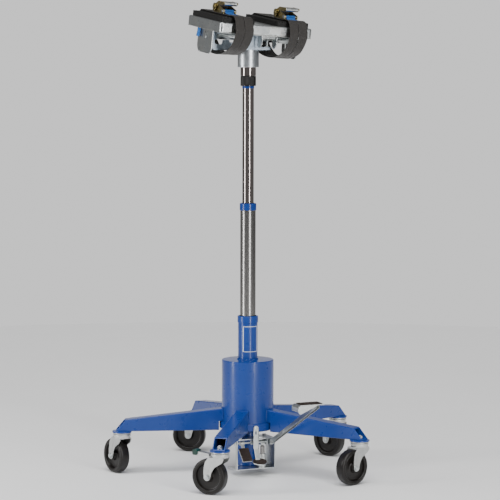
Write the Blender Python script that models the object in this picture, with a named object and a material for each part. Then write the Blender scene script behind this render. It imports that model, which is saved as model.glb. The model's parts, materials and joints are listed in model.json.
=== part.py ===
"""Telescopic transmission jack: five-legged base on casters, foot pump, two-stage column, tilting saddle.

Metres, +Z up. The origin is on the floor on the column's axis; -Y is the operator's side, with the pedals.
"""
import math

import bmesh
import bpy
from mathutils import Matrix, Vector

# ---- driving dimensions ----
GAP = 0.0003
JOINT_PLAY = 0.003

WHEEL_DIAMETER = 0.135
WHEEL_WIDTH = 0.041
WHEEL_HUB_RADIUS = 0.017
WHEEL_RIM_DEPTH = 0.0155
WHEEL_RECESS = 0.011
CASTER_TRAIL = 0.041
CASTER_HEAD_HEIGHT = 0.028
CASTER_RING_RADIUS = 0.491
CASTER_HEAD_RADIUS = 0.034
FORK_SHEET = 0.003
FORK_BACK = -0.026
FORK_FRONT = 0.036
FORK_EYE_RADIUS = 0.0135
CROWN_RISE = 0.0045
RACE_HEIGHT = 0.005
AXLE_RADIUS = 0.006
AXLE_HEAD_RADIUS = 0.0095
AXLE_HEAD_HEIGHT = 0.005
KING_BOLT_RADIUS = 0.006
KING_NUT_RADIUS = 0.0105
KING_NUT_HEIGHT = 0.009
KING_BOLT_END = 0.004
RIVET_RADIUS = 0.010
BRAKE_RISE = 0.009
BRAKE_HALF_WIDTH = 0.012
BRAKE_TIP_HALF_WIDTH = 0.017
BRAKE_HUB_RADIUS = 0.005

LEG_ANGLES = (162.0, 234.0, 306.0, 18.0, 90.0)
TRAIL_ANGLES = (101.0, 129.0, 198.0, 118.0, 145.0)
BRAKED_CASTER = 2
LEG_WIDTH = 0.050
LEG_WALL = 0.004
LEG_HUB_HEIGHT = 0.087
LEG_END_HEIGHT = 0.045
LEG_END_SLOPE = 0.039
LUG_RADIUS = 0.038
LUG_THICKNESS = 0.006

DRUM_RADIUS = 0.101
DRUM_WALL = 0.004
DRUM_HEIGHT = 0.272
HUB_BAND_THICKNESS = 0.009
HUB_BAND_HEIGHT = 0.026
HUB_BAND_RISE = 0.005

BARREL_RADIUS = 0.038
BARREL_WALL = 0.0045
BARREL_TOP = 0.587
FOOT_STEP = 0.0065
FOOT_BOTTOM = 0.029
FOOT_FLOOR = 0.012
STAGE2_CLEARANCE = 0.0035
STAGE2_WALL = 0.0045
STAGE2_EXPOSED = 0.411
STAGE2_OVERLAP = 0.130
STAGE3_CLEARANCE = 0.00325
STAGE3_EXPOSED = 0.444
STAGE3_OVERLAP = 0.112
PISTON_HEIGHT = 0.018
COLLAR_STEP = 0.00225
COLLAR_HEIGHT = 0.027
STOP_RING_HEIGHT = 0.009
LOCK_NUT_HEIGHT = 0.039
LOCK_NUT_THICKNESS = 0.00775
SLEEVE_HEIGHT = 0.033
BOSS_STEP = 0.011
BOSS_HEIGHT = 0.067

PIVOT_RISE = 0.0455
TILT_SIDE_REST = 3.3
TILT_FORE_REST = 6.4
SHAFT_RADIUS = 0.0125
SHAFT_LEFT_END = 0.003
SHAFT_RIGHT_END = 0.023
TILT_PIN_RADIUS = 0.007
TILT_PIN_HALF = 0.043
BLOCK_HALF = Vector((0.030, 0.0265, 0.016))
HEAD_PLATE_LEFT = -0.066
HEAD_PLATE_RIGHT = 0.081
HEAD_PLATE_HALF_DEPTH = 0.040
HEAD_PLATE_THICKNESS = 0.010
CHEEK_INNER = 0.028
CHEEK_OUTER = 0.038
CHEEK_HALF_WIDTH = 0.030
CHEEK_TOP_RADIUS = 0.017
ARM_FRONT = -0.0395
ARM_BACK = -0.029
ARM_HEIGHT = 0.018
HOOK_WIDTH = 0.074
HOOK_SLOT_WIDTH = 0.038
HOOK_HORN_WIDTH = 0.012
HOOK_HORN_RISE = 0.026
HOOK_CORNER = 0.022
SCREW_RADIUS = 0.005
SCREW_HEAD_RADIUS = 0.010
SCREW_HEAD_HEIGHT = 0.007
SIDE_SCREW_INSET = 0.036
SIDE_SCREW_Y = -0.036
SIDE_SCREW_LOW = -0.014
SIDE_SCREW_HIGH = 0.034
SIDE_SCREW_HEAD = 0.0165
FORE_SCREW = Vector((0.045, -0.080))
FORE_SCREW_LOW = -0.022
FORE_SCREW_HIGH = 0.036
FORE_SCREW_HEAD = 0.0225
PLATFORM_WIDTH = 0.381
PLATFORM_DEPTH = 0.328
PLATFORM_TOP = 0.0625
PLATFORM_SHEET = 0.004
PLATFORM_RIM = 0.038
EAR_INSET = 0.0115
EAR_DEPTH = 0.143
EAR_DROP = 0.0675
EAR_SHEET = 0.004
PLATFORM_CORNER = 0.012
EAR_CORNER = 0.022
CLEVIS_HALF_WIDTH = 0.032
CLEVIS_SHEET = 0.003
PAD_EDGE = 0.004
PAD_THICKNESS = 0.020
PAD_RIB_PITCH = 0.011
PAD_RIB_DEPTH = 0.004
PAD_INNER_EDGE = 0.038
STRAP_WIDTH = 0.074
STRAP_THICKNESS = 0.003
STRAP_LEFT_INSET = 0.0875
STRAP_RIGHT_INSET = 0.0695
RATCHET_LEFT_Y = 0.015
RATCHET_RIGHT_Y = -0.060
RATCHET_HALF_WIDTH = 0.026
RATCHET_PLATE = 0.003
RATCHET_BOLT_RADIUS = 0.005
SPOOL_OFFSET = 0.030
SPOOL_HEIGHT = 0.0195
SPOOL_RADIUS = 0.0165
SPOOL_AXLE_RADIUS = 0.0065
SPOOL_AXLE_END = 0.009
HANDLE_GRIP_RADIUS = 0.0075

BRACKET_LEFT = -0.089
BRACKET_RIGHT = 0.0722
BRACKET_FRONT = -0.100
BRACKET_BACK = -0.014
BRACKET_DROP = 0.0235
BRACKET_SHEET = 0.003
BRACKET_FLANGE = 0.016
LEVER_PIVOT_X = 0.053
LEVER_PIVOT_SPACE = 0.0055
LEVER_PIVOT_DROP = 0.0215
LEVER_ELBOW = (-0.108, 0.006)
LEVER_SHAFT_RADIUS = 0.007
LEVER_WIDTH = 0.016
LEVER_HEIGHT = 0.015
PEDAL_FRONT = -0.547
PEDAL_HEIGHT = 0.340
PEDAL_WIDTH = 0.105
PEDAL_LENGTH = 0.058
PEDAL_OVERHANG = 0.013
PEDAL_EDGE_RADIUS = 0.012
PEDAL_EDGE_DROP = 0.022
PUMP_X = 0.028
PUMP_Y = -0.078
PUMP_RADIUS = 0.0155
PUMP_HEIGHT = 0.052
PLUNGER_RADIUS = 0.009
PLUNGER_LENGTH = 0.059
PLUNGER_TIP = 0.004
CRANK_HALF_WIDTH = 0.008
CRANK_DROP = 0.009
PIN_TAB_X = 0.040
SMALL_PIVOT_Y = -0.090
SMALL_PIVOT_DROP = 0.016
SMALL_PIN_RADIUS = 0.004
SMALL_HUB_RADIUS = 0.0085
APPROACH_X = -0.016
APPROACH_BAR = 0.004
APPROACH_PAD = (0.028, 0.024)
RELEASE_X = -0.064
RELEASE_PAD_WIDTH = 0.040

WHEEL_SIDES = 20
FINE_SIDES = 48
DRUM_SIDES = 36
COLUMN_SIDES = 32
ROD_SIDES = 28
SMALL_SIDES = 16
PIN_SIDES = 10

# ---- derived levels, floor upwards ----
LUG_BOTTOM = WHEEL_DIAMETER + CASTER_HEAD_HEIGHT
LEG_BOTTOM = LUG_BOTTOM + LUG_THICKNESS
DRUM_BOTTOM = LEG_BOTTOM + 0.002
DRUM_TOP = DRUM_BOTTOM + DRUM_HEIGHT
FOOT_RADIUS = BARREL_RADIUS + FOOT_STEP
BARREL_BORE = BARREL_RADIUS - BARREL_WALL
STAGE2_RADIUS = BARREL_BORE - STAGE2_CLEARANCE
COLLAR_TOP = BARREL_TOP + COLLAR_HEIGHT
STAGE2_TOP = COLLAR_TOP + STAGE2_EXPOSED
STAGE2_BOTTOM = COLLAR_TOP - STAGE2_OVERLAP
STAGE2_BORE = STAGE2_RADIUS - STAGE2_WALL
STAGE3_RADIUS = STAGE2_BORE - STAGE3_CLEARANCE
LOCK_NUT_RADIUS = STAGE3_RADIUS + LOCK_NUT_THICKNESS
BOSS_RADIUS = LOCK_NUT_RADIUS + BOSS_STEP
COLLAR2_TOP = STAGE2_TOP + COLLAR_HEIGHT
RING_BOTTOM = COLLAR2_TOP + STAGE3_EXPOSED
STAGE3_BOTTOM = COLLAR2_TOP - STAGE3_OVERLAP
NUT_BOTTOM = RING_BOTTOM + STOP_RING_HEIGHT
SLEEVE_BOTTOM = NUT_BOTTOM + LOCK_NUT_HEIGHT
BOSS_BOTTOM = SLEEVE_BOTTOM + SLEEVE_HEIGHT
BOSS_TOP = BOSS_BOTTOM + BOSS_HEIGHT
PIVOT = Vector((0.0, 0.0, BOSS_TOP + PIVOT_RISE))
EAR_X = PLATFORM_WIDTH / 2 - EAR_INSET
HOOK_LEFT = 0.007 - EAR_X
SIDE_SCREW_X = SIDE_SCREW_INSET - EAR_X
STRAP_LEFT_X = STRAP_LEFT_INSET - PLATFORM_WIDTH / 2
STRAP_RIGHT_X = PLATFORM_WIDTH / 2 - STRAP_RIGHT_INSET
PAD_TOP = PLATFORM_TOP + PAD_THICKNESS
BRACKET_TOP = LEG_BOTTOM - BRACKET_DROP
LEVER_PIVOT = Vector((LEVER_PIVOT_X, -FOOT_RADIUS - LEVER_PIVOT_SPACE, BRACKET_TOP - LEVER_PIVOT_DROP))
SMALL_PIVOT = Vector((0.0, SMALL_PIVOT_Y, BRACKET_TOP - SMALL_PIVOT_DROP))
APPROACH_FACE = -(DRUM_RADIUS + HUB_BAND_THICKNESS + 0.002)


# ---- shape tools ----
def finished(bm):
    """Mesh of a bmesh body with its faces pointing out."""
    bmesh.ops.recalc_face_normals(bm, faces=bm.faces)
    mesh = bpy.data.meshes.new("shape")
    bm.to_mesh(mesh)
    bm.free()
    return mesh


def turned(profile, sides, hollow=False):
    """Body turned about Z from (radius, height) points; a hollow one closes on its first point."""
    bm = bmesh.new()
    rings = []
    for radius, height in profile:
        count = sides if radius > 1e-6 else 1
        turns = [math.tau * k / sides for k in range(count)]
        rings.append([bm.verts.new((radius * math.cos(a), radius * math.sin(a), height)) for a in turns])
    pairs = list(zip(rings, rings[1:]))
    if hollow:
        pairs.append((rings[-1], rings[0]))
    for lower, upper in pairs:
        for k in range(sides):
            here, there = k, (k + 1) % sides
            corners = [lower[here % len(lower)], lower[there % len(lower)]]
            corners += [upper[there % len(upper)], upper[here % len(upper)]]
            corners = list(dict.fromkeys(corners))
            if len(corners) > 2:
                bm.faces.new(corners)
    return finished(bm)


def tube(outer, inner, low, high, sides):
    return turned([(inner, low), (outer, low), (outer, high), (inner, high)], sides, hollow=True)


def disc(radius, low, high, sides):
    return turned([(0, low), (radius, low), (radius, high), (0, high)], sides)


def prism(outline, low, high, plane="XY"):
    """Outline of (u, v) points in a plane, extruded along that plane's normal from low to high."""
    place = {
        "XY": lambda u, v, w: (u, v, w),
        "XZ": lambda u, v, w: (u, w, v),
        "YZ": lambda u, v, w: (w, u, v),
    }[plane]
    bm = bmesh.new()
    ends = [[bm.verts.new(place(u, v, w)) for u, v in outline] for w in (low, high)]
    for end in ends:
        bm.faces.new(end)
    count = len(outline)
    for k in range(count):
        after = (k + 1) % count
        bm.faces.new([ends[0][k], ends[0][after], ends[1][after], ends[1][k]])
    return finished(bm)


def box(x0, x1, y0, y1, z0, z1):
    return prism([(x0, y0), (x1, y0), (x1, y1), (x0, y1)], z0, z1)


def arc(centre, radius, start, end, steps):
    """Points of a circular arc between two angles in degrees."""
    turns = [math.radians(start + (end - start) * k / steps) for k in range(steps + 1)]
    return [(centre[0] + radius * math.cos(a), centre[1] + radius * math.sin(a)) for a in turns]


def rounded(x0, x1, y0, y1, radius, steps=3):
    """Rectangle outline with round corners."""
    outline = arc((x1 - radius, y1 - radius), radius, 0, 90, steps)
    outline += arc((x0 + radius, y1 - radius), radius, 90, 180, steps)
    outline += arc((x0 + radius, y0 + radius), radius, 180, 270, steps)
    outline += arc((x1 - radius, y0 + radius), radius, 270, 360, steps)
    return outline


def rod(start, end, radius, sides):
    """Round bar between two points."""
    start, end = Vector(start), Vector(end)
    mesh = disc(radius, 0, (end - start).length, sides)
    turn = Vector((0, 0, 1)).rotation_difference(end - start).to_matrix().to_4x4()
    mesh.transform(Matrix.Translation(start) @ turn)
    return mesh


def bar(start, end, width, thickness):
    """Flat bar between two (y, z) points, lying along X by its width and centred on x = 0."""
    start, end = Vector(start), Vector(end)
    side = (end - start).normalized().orthogonal() * thickness / 2
    outline = [start + side, end + side, end - side, start - side]
    return prism([tuple(point) for point in outline], -width / 2, width / 2, "YZ")


def moved(mesh, x=0.0, y=0.0, z=0.0):
    mesh.transform(Matrix.Translation((x, y, z)))
    return mesh


def turning_bore(radius):
    """Radius of a flat-sided hole in which a bar of that radius turns freely."""
    return radius / math.cos(math.pi / PIN_SIDES) + GAP


def combined(first, adds=(), cuts=()):
    """One mesh: the first body with the others joined to it, less the cuts."""
    base = bpy.data.objects.new("base", first)
    bpy.context.scene.collection.objects.link(base)
    tools = []
    for operation, meshes in (("UNION", adds), ("DIFFERENCE", cuts)):
        for mesh in meshes:
            tool = bpy.data.objects.new("tool", mesh)
            bpy.context.scene.collection.objects.link(tool)
            tools.append(tool)
            step = base.modifiers.new(operation, "BOOLEAN")
            step.operation = operation
            step.object = tool
    seen = base.evaluated_get(bpy.context.evaluated_depsgraph_get())
    result = bpy.data.meshes.new_from_object(seen)
    for item in [base, *tools]:
        bpy.data.objects.remove(item, do_unlink=True)
    return result


# ---- materials and placing ----
def material(name, colour, roughness, metallic=0.0):
    made = bpy.data.materials.new(name)
    made.use_nodes = True
    shader = made.node_tree.nodes["Principled BSDF"]
    shader.inputs["Base Color"].default_value = (*colour, 1)
    shader.inputs["Roughness"].default_value = roughness
    shader.inputs["Metallic"].default_value = metallic
    made.diffuse_color = (*colour, 1)
    return made


def axis_empty(name, location, turn_deg=(0, 0, 0), parent=None):
    empty = bpy.data.objects.new(name, None)
    bpy.context.scene.collection.objects.link(empty)
    empty.parent = parent
    empty.location = location
    empty.rotation_euler = [math.radians(value) for value in turn_deg]
    return empty


def node(name, mesh, finish, parent=None, origin=(0, 0, 0), turn_deg=0.0):
    """Named part; its mesh is given in the parent's frame and its origin is set on its own axis."""
    if mesh.users == 0:
        mesh.transform(Matrix.Translation(-Vector(origin)))
        mesh.shade_smooth()
        mesh.set_sharp_from_angle(angle=math.radians(35))
        mesh.materials.append(MATERIALS[finish])
    part = bpy.data.objects.new(name, mesh)
    bpy.context.scene.collection.objects.link(part)
    part.parent = parent
    part.location = origin
    part.rotation_euler = (0, 0, math.radians(turn_deg))
    return part


# ---- base ----
def drum_mesh():
    bore = BARREL_RADIUS + GAP
    inner = DRUM_RADIUS - DRUM_WALL
    edge = 0.0015
    profile = [
        (bore, DRUM_BOTTOM), (DRUM_RADIUS, DRUM_BOTTOM), (DRUM_RADIUS, DRUM_TOP - edge),
        (DRUM_RADIUS - edge, DRUM_TOP), (bore, DRUM_TOP), (bore, DRUM_TOP - DRUM_WALL),
        (inner, DRUM_TOP - DRUM_WALL), (inner, DRUM_BOTTOM + DRUM_WALL), (bore, DRUM_BOTTOM + DRUM_WALL),
    ]
    return turned(profile, DRUM_SIDES, hollow=True)


def band_levels():
    low = DRUM_BOTTOM + HUB_BAND_RISE
    return low, low + HUB_BAND_HEIGHT


def band_mesh():
    low, high = band_levels()
    return tube(DRUM_RADIUS + HUB_BAND_THICKNESS, DRUM_RADIUS + GAP, low, high, DRUM_SIDES)


def leg_mesh():
    """Tapered box leg along +X, open at its slanted outer end, notched over the hub band."""
    hub = DRUM_RADIUS * 0.8
    outer = CASTER_RING_RADIUS + LEG_WIDTH / 2
    shoulder = outer - LEG_END_SLOPE
    side = [
        (hub, LEG_BOTTOM), (outer, LEG_BOTTOM),
        (shoulder, LEG_BOTTOM + LEG_END_HEIGHT), (hub, LEG_BOTTOM + LEG_HUB_HEIGHT),
    ]
    half = LEG_WIDTH / 2
    body = prism(side, -half, half, "XZ")
    rise = (LEG_HUB_HEIGHT - LEG_END_HEIGHT) / (shoulder - hub)
    start, stop = hub - 0.02, outer + 0.02
    top_start = LEG_BOTTOM + LEG_HUB_HEIGHT - LEG_WALL + rise * 0.02
    top_stop = LEG_BOTTOM + LEG_HUB_HEIGHT - LEG_WALL - rise * (stop - hub)
    hollow_side = [
        (start, LEG_BOTTOM + LEG_WALL), (stop, LEG_BOTTOM + LEG_WALL), (stop, top_stop), (start, top_start),
    ]
    hollow = prism(hollow_side, LEG_WALL - half, half - LEG_WALL, "XZ")
    lug = moved(disc(LUG_RADIUS, LUG_BOTTOM, LEG_BOTTOM + LEG_WALL / 4, SMALL_SIDES), x=CASTER_RING_RADIUS)
    low, high = band_levels()
    clearance = DRUM_RADIUS + GAP
    notch = DRUM_RADIUS + HUB_BAND_THICKNESS * 1.8
    hub_cut = turned([
        (0, LUG_BOTTOM - 0.01), (notch, LUG_BOTTOM - 0.01), (notch, high + 0.003),
        (clearance, high + 0.003), (clearance, DRUM_TOP), (0, DRUM_TOP),
    ], FINE_SIDES)
    bolt_cut = disc(KING_BOLT_RADIUS + 2 * GAP, LUG_BOTTOM - 0.01, LEG_BOTTOM + LEG_WALL + 0.002, PIN_SIDES)
    bolt_cut = moved(bolt_cut, x=CASTER_RING_RADIUS)
    return combined(body, adds=[lug], cuts=[hollow, hub_cut, bolt_cut])


def stem_mesh():
    """King bolt with its nut above the leg's floor, top race under the lug, rivet head inside the fork."""
    race_top = LUG_BOTTOM - GAP
    race_low = race_top - RACE_HEIGHT
    nut_low = LEG_BOTTOM + LEG_WALL + GAP
    nut_top = nut_low + KING_NUT_HEIGHT
    bolt_top = nut_top + KING_BOLT_END
    rivet_top = fork_levels()[0] - GAP
    return turned([
        (0, bolt_top), (KING_BOLT_RADIUS, bolt_top), (KING_BOLT_RADIUS, nut_top),
        (KING_NUT_RADIUS, nut_top), (KING_NUT_RADIUS, nut_low), (KING_BOLT_RADIUS, nut_low),
        (KING_BOLT_RADIUS, race_top), (CASTER_HEAD_RADIUS + 0.001, race_top),
        (CASTER_HEAD_RADIUS + 0.001, race_low), (KING_BOLT_RADIUS, race_low),
        (KING_BOLT_RADIUS, rivet_top), (RIVET_RADIUS, rivet_top),
        (RIVET_RADIUS, rivet_top - KING_BOLT_END), (0, rivet_top - KING_BOLT_END),
    ], SMALL_SIDES)


def fork_levels():
    """Underside and top of the fork's crown."""
    return WHEEL_DIAMETER + CROWN_RISE, LUG_BOTTOM - RACE_HEIGHT - 4 * GAP


def fork_mesh():
    """Pressed fork: bearing cup, crown and two cheeks that lean back to the axle."""
    low, high = fork_levels()
    inside = WHEEL_WIDTH / 2 + JOINT_PLAY
    outside = inside + FORK_SHEET
    axle = (CASTER_TRAIL, WHEEL_DIAMETER / 2)
    back, front = FORK_BACK, FORK_FRONT
    cheek = [(back, low + FORK_SHEET), (back, low - 0.008)]
    cheek += arc(axle, FORK_EYE_RADIUS, 205, 385, 5)
    cheek += [(front + 0.018, low - 0.020), (front, low), (front, low + FORK_SHEET)]
    cheeks = [prism(cheek, inside, outside, "XZ"), prism(cheek, -outside, -inside, "XZ")]
    crown = box(back, front, -outside, outside, low, low + FORK_SHEET)
    cup = disc(CASTER_HEAD_RADIUS, low + FORK_SHEET / 2, high, SMALL_SIDES)
    bolt_cut = disc(KING_BOLT_RADIUS + 2 * GAP, low - 0.01, high + 0.01, SMALL_SIDES)
    axle_cut = rod((axle[0], -0.05, axle[1]), (axle[0], 0.05, axle[1]), AXLE_RADIUS + GAP, PIN_SIDES)
    return combined(crown, adds=[*cheeks, cup], cuts=[bolt_cut, axle_cut])


def wheel_mesh():
    """One-piece wheel about Y: rounded tread, recessed web, raised hub."""
    radius = WHEEL_DIAMETER / 2
    half = WHEEL_WIDTH / 2
    face = [
        (AXLE_RADIUS + GAP, half), (WHEEL_HUB_RADIUS, half), (WHEEL_HUB_RADIUS + 0.002, half - WHEEL_RECESS),
        (radius - WHEEL_RIM_DEPTH - 0.003, half - WHEEL_RECESS), (radius - WHEEL_RIM_DEPTH, half),
        (radius - 0.004, half), (radius, half - 0.009),
    ]
    profile = face + [(r, -z) for r, z in reversed(face)]
    mesh = turned(profile, WHEEL_SIDES, hollow=True)
    mesh.transform(Matrix.Rotation(math.pi / 2, 4, "X"))
    return mesh


def axle_mesh():
    """Axle bolt along Y with a head outside each cheek."""
    shank = WHEEL_WIDTH / 2 + JOINT_PLAY + FORK_SHEET + GAP
    end = shank + AXLE_HEAD_HEIGHT
    head = AXLE_HEAD_RADIUS
    profile = [
        (0, -end), (head, -end), (head, -shank), (AXLE_RADIUS, -shank),
        (AXLE_RADIUS, shank), (head, shank), (head, end), (0, end),
    ]
    mesh = turned(profile, PIN_SIDES)
    mesh.transform(Matrix.Rotation(math.pi / 2, 4, "X"))
    return mesh


def brake_mesh():
    """Foot brake: arm from the fork's crown out over the wheel, ending in a broad tip."""
    x, low = CASTER_TRAIL, fork_levels()[0]
    height = low + BRAKE_RISE
    half, tip_half = BRAKE_HALF_WIDTH, BRAKE_TIP_HALF_WIDTH
    hub = rod((x, -0.018, height), (x, 0.018, height), BRAKE_HUB_RADIUS, PIN_SIDES)
    arm = prism([
        (x - 0.003, low + 0.013), (x - 0.003, low + 0.006), (x + 0.041, low + 0.001),
        (x + 0.063, low + 0.006), (x + 0.066, low + 0.020), (x + 0.043, low + 0.017),
    ], -half, half, "XZ")
    tip = prism(rounded(x + 0.047, x + 0.068, low + 0.004, low + 0.026, 0.006), -tip_half, tip_half, "XZ")
    return combined(arm, adds=[hub, tip])


def build_base():
    node("reservoir_drum", drum_mesh(), "blue")
    node("hub_band", band_mesh(), "blue")
    shapes = {
        "leg": (leg_mesh(), "blue"), "stem": (stem_mesh(), "zinc"), "fork": (fork_mesh(), "zinc"),
        "axle": (axle_mesh(), "zinc"), "wheel": (wheel_mesh(), "black"),
    }
    hub = (CASTER_TRAIL, 0, WHEEL_DIAMETER / 2)
    for k, (leg_angle, trail_angle) in enumerate(zip(LEG_ANGLES, TRAIL_ANGLES), start=1):
        node(f"leg_{k}", *shapes["leg"], turn_deg=leg_angle)
        out = Matrix.Rotation(math.radians(leg_angle), 3, "Z") @ Vector((CASTER_RING_RADIUS, 0, 0))
        swivel = axis_empty(f"caster_axis_{k}", out, (0, 0, trail_angle))
        node(f"caster_stem_{k}", *shapes["stem"], parent=swivel)
        node(f"caster_fork_{k}", *shapes["fork"], parent=swivel)
        axle = axis_empty(f"axle_axis_{k}", hub, parent=swivel)
        node(f"caster_axle_{k}", *shapes["axle"], parent=axle)
        node(f"caster_wheel_{k}", *shapes["wheel"], parent=axle)
        if k == BRAKED_CASTER:
            brake_axis = (CASTER_TRAIL, 0, fork_levels()[0] + BRAKE_RISE)
            node("caster_brake_pedal", brake_mesh(), "zinc", swivel, brake_axis)


# ---- column ----
def build_column():
    under = DRUM_BOTTOM - GAP
    bore_floor = FOOT_BOTTOM + FOOT_FLOOR
    barrel = turned([
        (0, FOOT_BOTTOM), (FOOT_RADIUS, FOOT_BOTTOM), (FOOT_RADIUS, under), (BARREL_RADIUS, under),
        (BARREL_RADIUS, BARREL_TOP - GAP), (BARREL_BORE, BARREL_TOP - GAP), (BARREL_BORE, bore_floor),
        (0, bore_floor),
    ], COLUMN_SIDES)
    node("cylinder_barrel", barrel, "blue")
    collar = BARREL_RADIUS + COLLAR_STEP
    node("barrel_collar", tube(collar, STAGE2_RADIUS + GAP, BARREL_TOP, COLLAR_TOP, COLUMN_SIDES), "blue")

    piston_top = STAGE2_BOTTOM + PISTON_HEIGHT
    stage2 = turned([
        (0, STAGE2_BOTTOM), (BARREL_BORE - GAP, STAGE2_BOTTOM), (BARREL_BORE - GAP, piston_top),
        (STAGE2_RADIUS, piston_top), (STAGE2_RADIUS, STAGE2_TOP - GAP), (STAGE2_BORE, STAGE2_TOP - GAP),
        (STAGE2_BORE, piston_top), (0, piston_top),
    ], COLUMN_SIDES)
    node("stage2_tube", stage2, "steel", origin=(0, 0, STAGE2_BOTTOM))
    clear = STAGE3_RADIUS + GAP
    collar2 = tube(STAGE2_RADIUS + COLLAR_STEP, clear, STAGE2_TOP, COLLAR2_TOP, COLUMN_SIDES)
    node("stage2_collar", collar2, "blue", origin=(0, 0, STAGE2_TOP))

    rod_top = BOSS_BOTTOM + BOSS_HEIGHT / 2
    piston3_top = STAGE3_BOTTOM + PISTON_HEIGHT
    stage3 = turned([
        (0, STAGE3_BOTTOM), (STAGE2_BORE - GAP, STAGE3_BOTTOM), (STAGE2_BORE - GAP, piston3_top),
        (STAGE3_RADIUS, piston3_top), (STAGE3_RADIUS, rod_top), (0, rod_top),
    ], ROD_SIDES)
    node("stage3_rod", stage3, "chrome", origin=(0, 0, STAGE3_BOTTOM))
    ring = tube(STAGE3_RADIUS + 0.001, clear, RING_BOTTOM, NUT_BOTTOM - GAP, ROD_SIDES)
    node("rod_stop_ring", ring, "blue", origin=(0, 0, RING_BOTTOM))
    nut = tube(LOCK_NUT_RADIUS, clear, NUT_BOTTOM, SLEEVE_BOTTOM - GAP, ROD_SIDES)
    node("lock_nut", nut, "black", origin=(0, 0, NUT_BOTTOM))
    sleeve = tube(LOCK_NUT_RADIUS, clear, SLEEVE_BOTTOM, BOSS_BOTTOM - GAP, ROD_SIDES)
    node("head_sleeve", sleeve, "chrome", origin=(0, 0, SLEEVE_BOTTOM))


# ---- head ----
def casting_mesh():
    """Boss, flange plate, fork for the tilt block, and the side arm with its slotted end."""
    boss = turned([
        (0, BOSS_BOTTOM), (BOSS_RADIUS, BOSS_BOTTOM), (BOSS_RADIUS, BOSS_TOP), (0, BOSS_TOP),
    ], ROD_SIDES)
    plate_low, plate_high = BOSS_TOP - 0.001, BOSS_TOP + HEAD_PLATE_THICKNESS
    half_depth = HEAD_PLATE_HALF_DEPTH
    outline = rounded(HEAD_PLATE_LEFT, HEAD_PLATE_RIGHT, -half_depth, half_depth, 0.010)
    plate = prism(outline, plate_low, plate_high)
    cheek = [(-CHEEK_HALF_WIDTH, plate_high - 0.001), (CHEEK_HALF_WIDTH, plate_high - 0.001)]
    cheek += arc((0, PIVOT.z), CHEEK_TOP_RADIUS, 0, 180, 8)
    faces = ((-CHEEK_OUTER, -CHEEK_INNER), (CHEEK_INNER, CHEEK_OUTER))
    cheeks = [prism(cheek, *pair, "XZ") for pair in faces]
    left, right = HOOK_LEFT, HOOK_LEFT + HOOK_WIDTH
    arm_top = plate_high + ARM_HEIGHT
    arm = box(right - 0.012, HEAD_PLATE_LEFT + 0.016, ARM_FRONT, ARM_BACK, plate_low, arm_top)
    low, high = BOSS_TOP - 0.002, PIVOT.z + HOOK_HORN_RISE
    slot = (left + HOOK_HORN_WIDTH, left + HOOK_HORN_WIDTH + HOOK_SLOT_WIDTH)
    slot_floor = low + HOOK_CORNER
    hook = arc((left + HOOK_CORNER, low + HOOK_CORNER), HOOK_CORNER, 180, 270, 4)
    hook += [(right - 0.004, low), (right, low + 0.010), (right + 0.004, low + 0.036)]
    hook += [(right - 0.010, low + 0.040), (slot[1], slot_floor + 0.006), (slot[1] - 0.004, slot_floor)]
    hook += [(slot[0] + 0.004, slot_floor), (slot[0], slot_floor + 0.006)]
    hook += [(slot[0], high), (left, high - 0.004)]
    hook_plate = prism(hook, ARM_FRONT - 0.006, ARM_BACK + 0.001, "XZ")
    bore_top = BOSS_BOTTOM + BOSS_HEIGHT / 2 + 0.001
    rod_bore = disc(STAGE3_RADIUS + GAP, BOSS_BOTTOM - 0.01, bore_top, ROD_SIDES)
    pin_bore = rod((0, -0.05, PIVOT.z), (0, 0.05, PIVOT.z), TILT_PIN_RADIUS + GAP, SMALL_SIDES)
    return combined(boss, adds=[plate, *cheeks, arm, hook_plate], cuts=[rod_bore, pin_bore])


def cradle_mesh():
    """Block on its Y pin with the cross shaft through it and a threaded lug for the side screw."""
    ear_face = EAR_X + EAR_SHEET / 2
    left, right = -ear_face - SHAFT_LEFT_END, ear_face + SHAFT_RIGHT_END
    x, y, z = BLOCK_HALF
    block = box(-x, x, -y, y, -z, z)
    pin = rod((0, -TILT_PIN_HALF, 0), (0, TILT_PIN_HALF, 0), TILT_PIN_RADIUS, SMALL_SIDES)
    shaft = rod((left, 0, 0), (right, 0, 0), SHAFT_RADIUS, SMALL_SIDES)
    lug = box(SIDE_SCREW_X - 0.010, SIDE_SCREW_X + 0.010, SIDE_SCREW_Y - 0.010, 0.004, 0.006, z)
    screw_bore = moved(disc(SCREW_RADIUS + GAP, -0.02, 0.03, PIN_SIDES), SIDE_SCREW_X, SIDE_SCREW_Y)
    return combined(block, adds=[pin, shaft, lug], cuts=[screw_bore])


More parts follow.
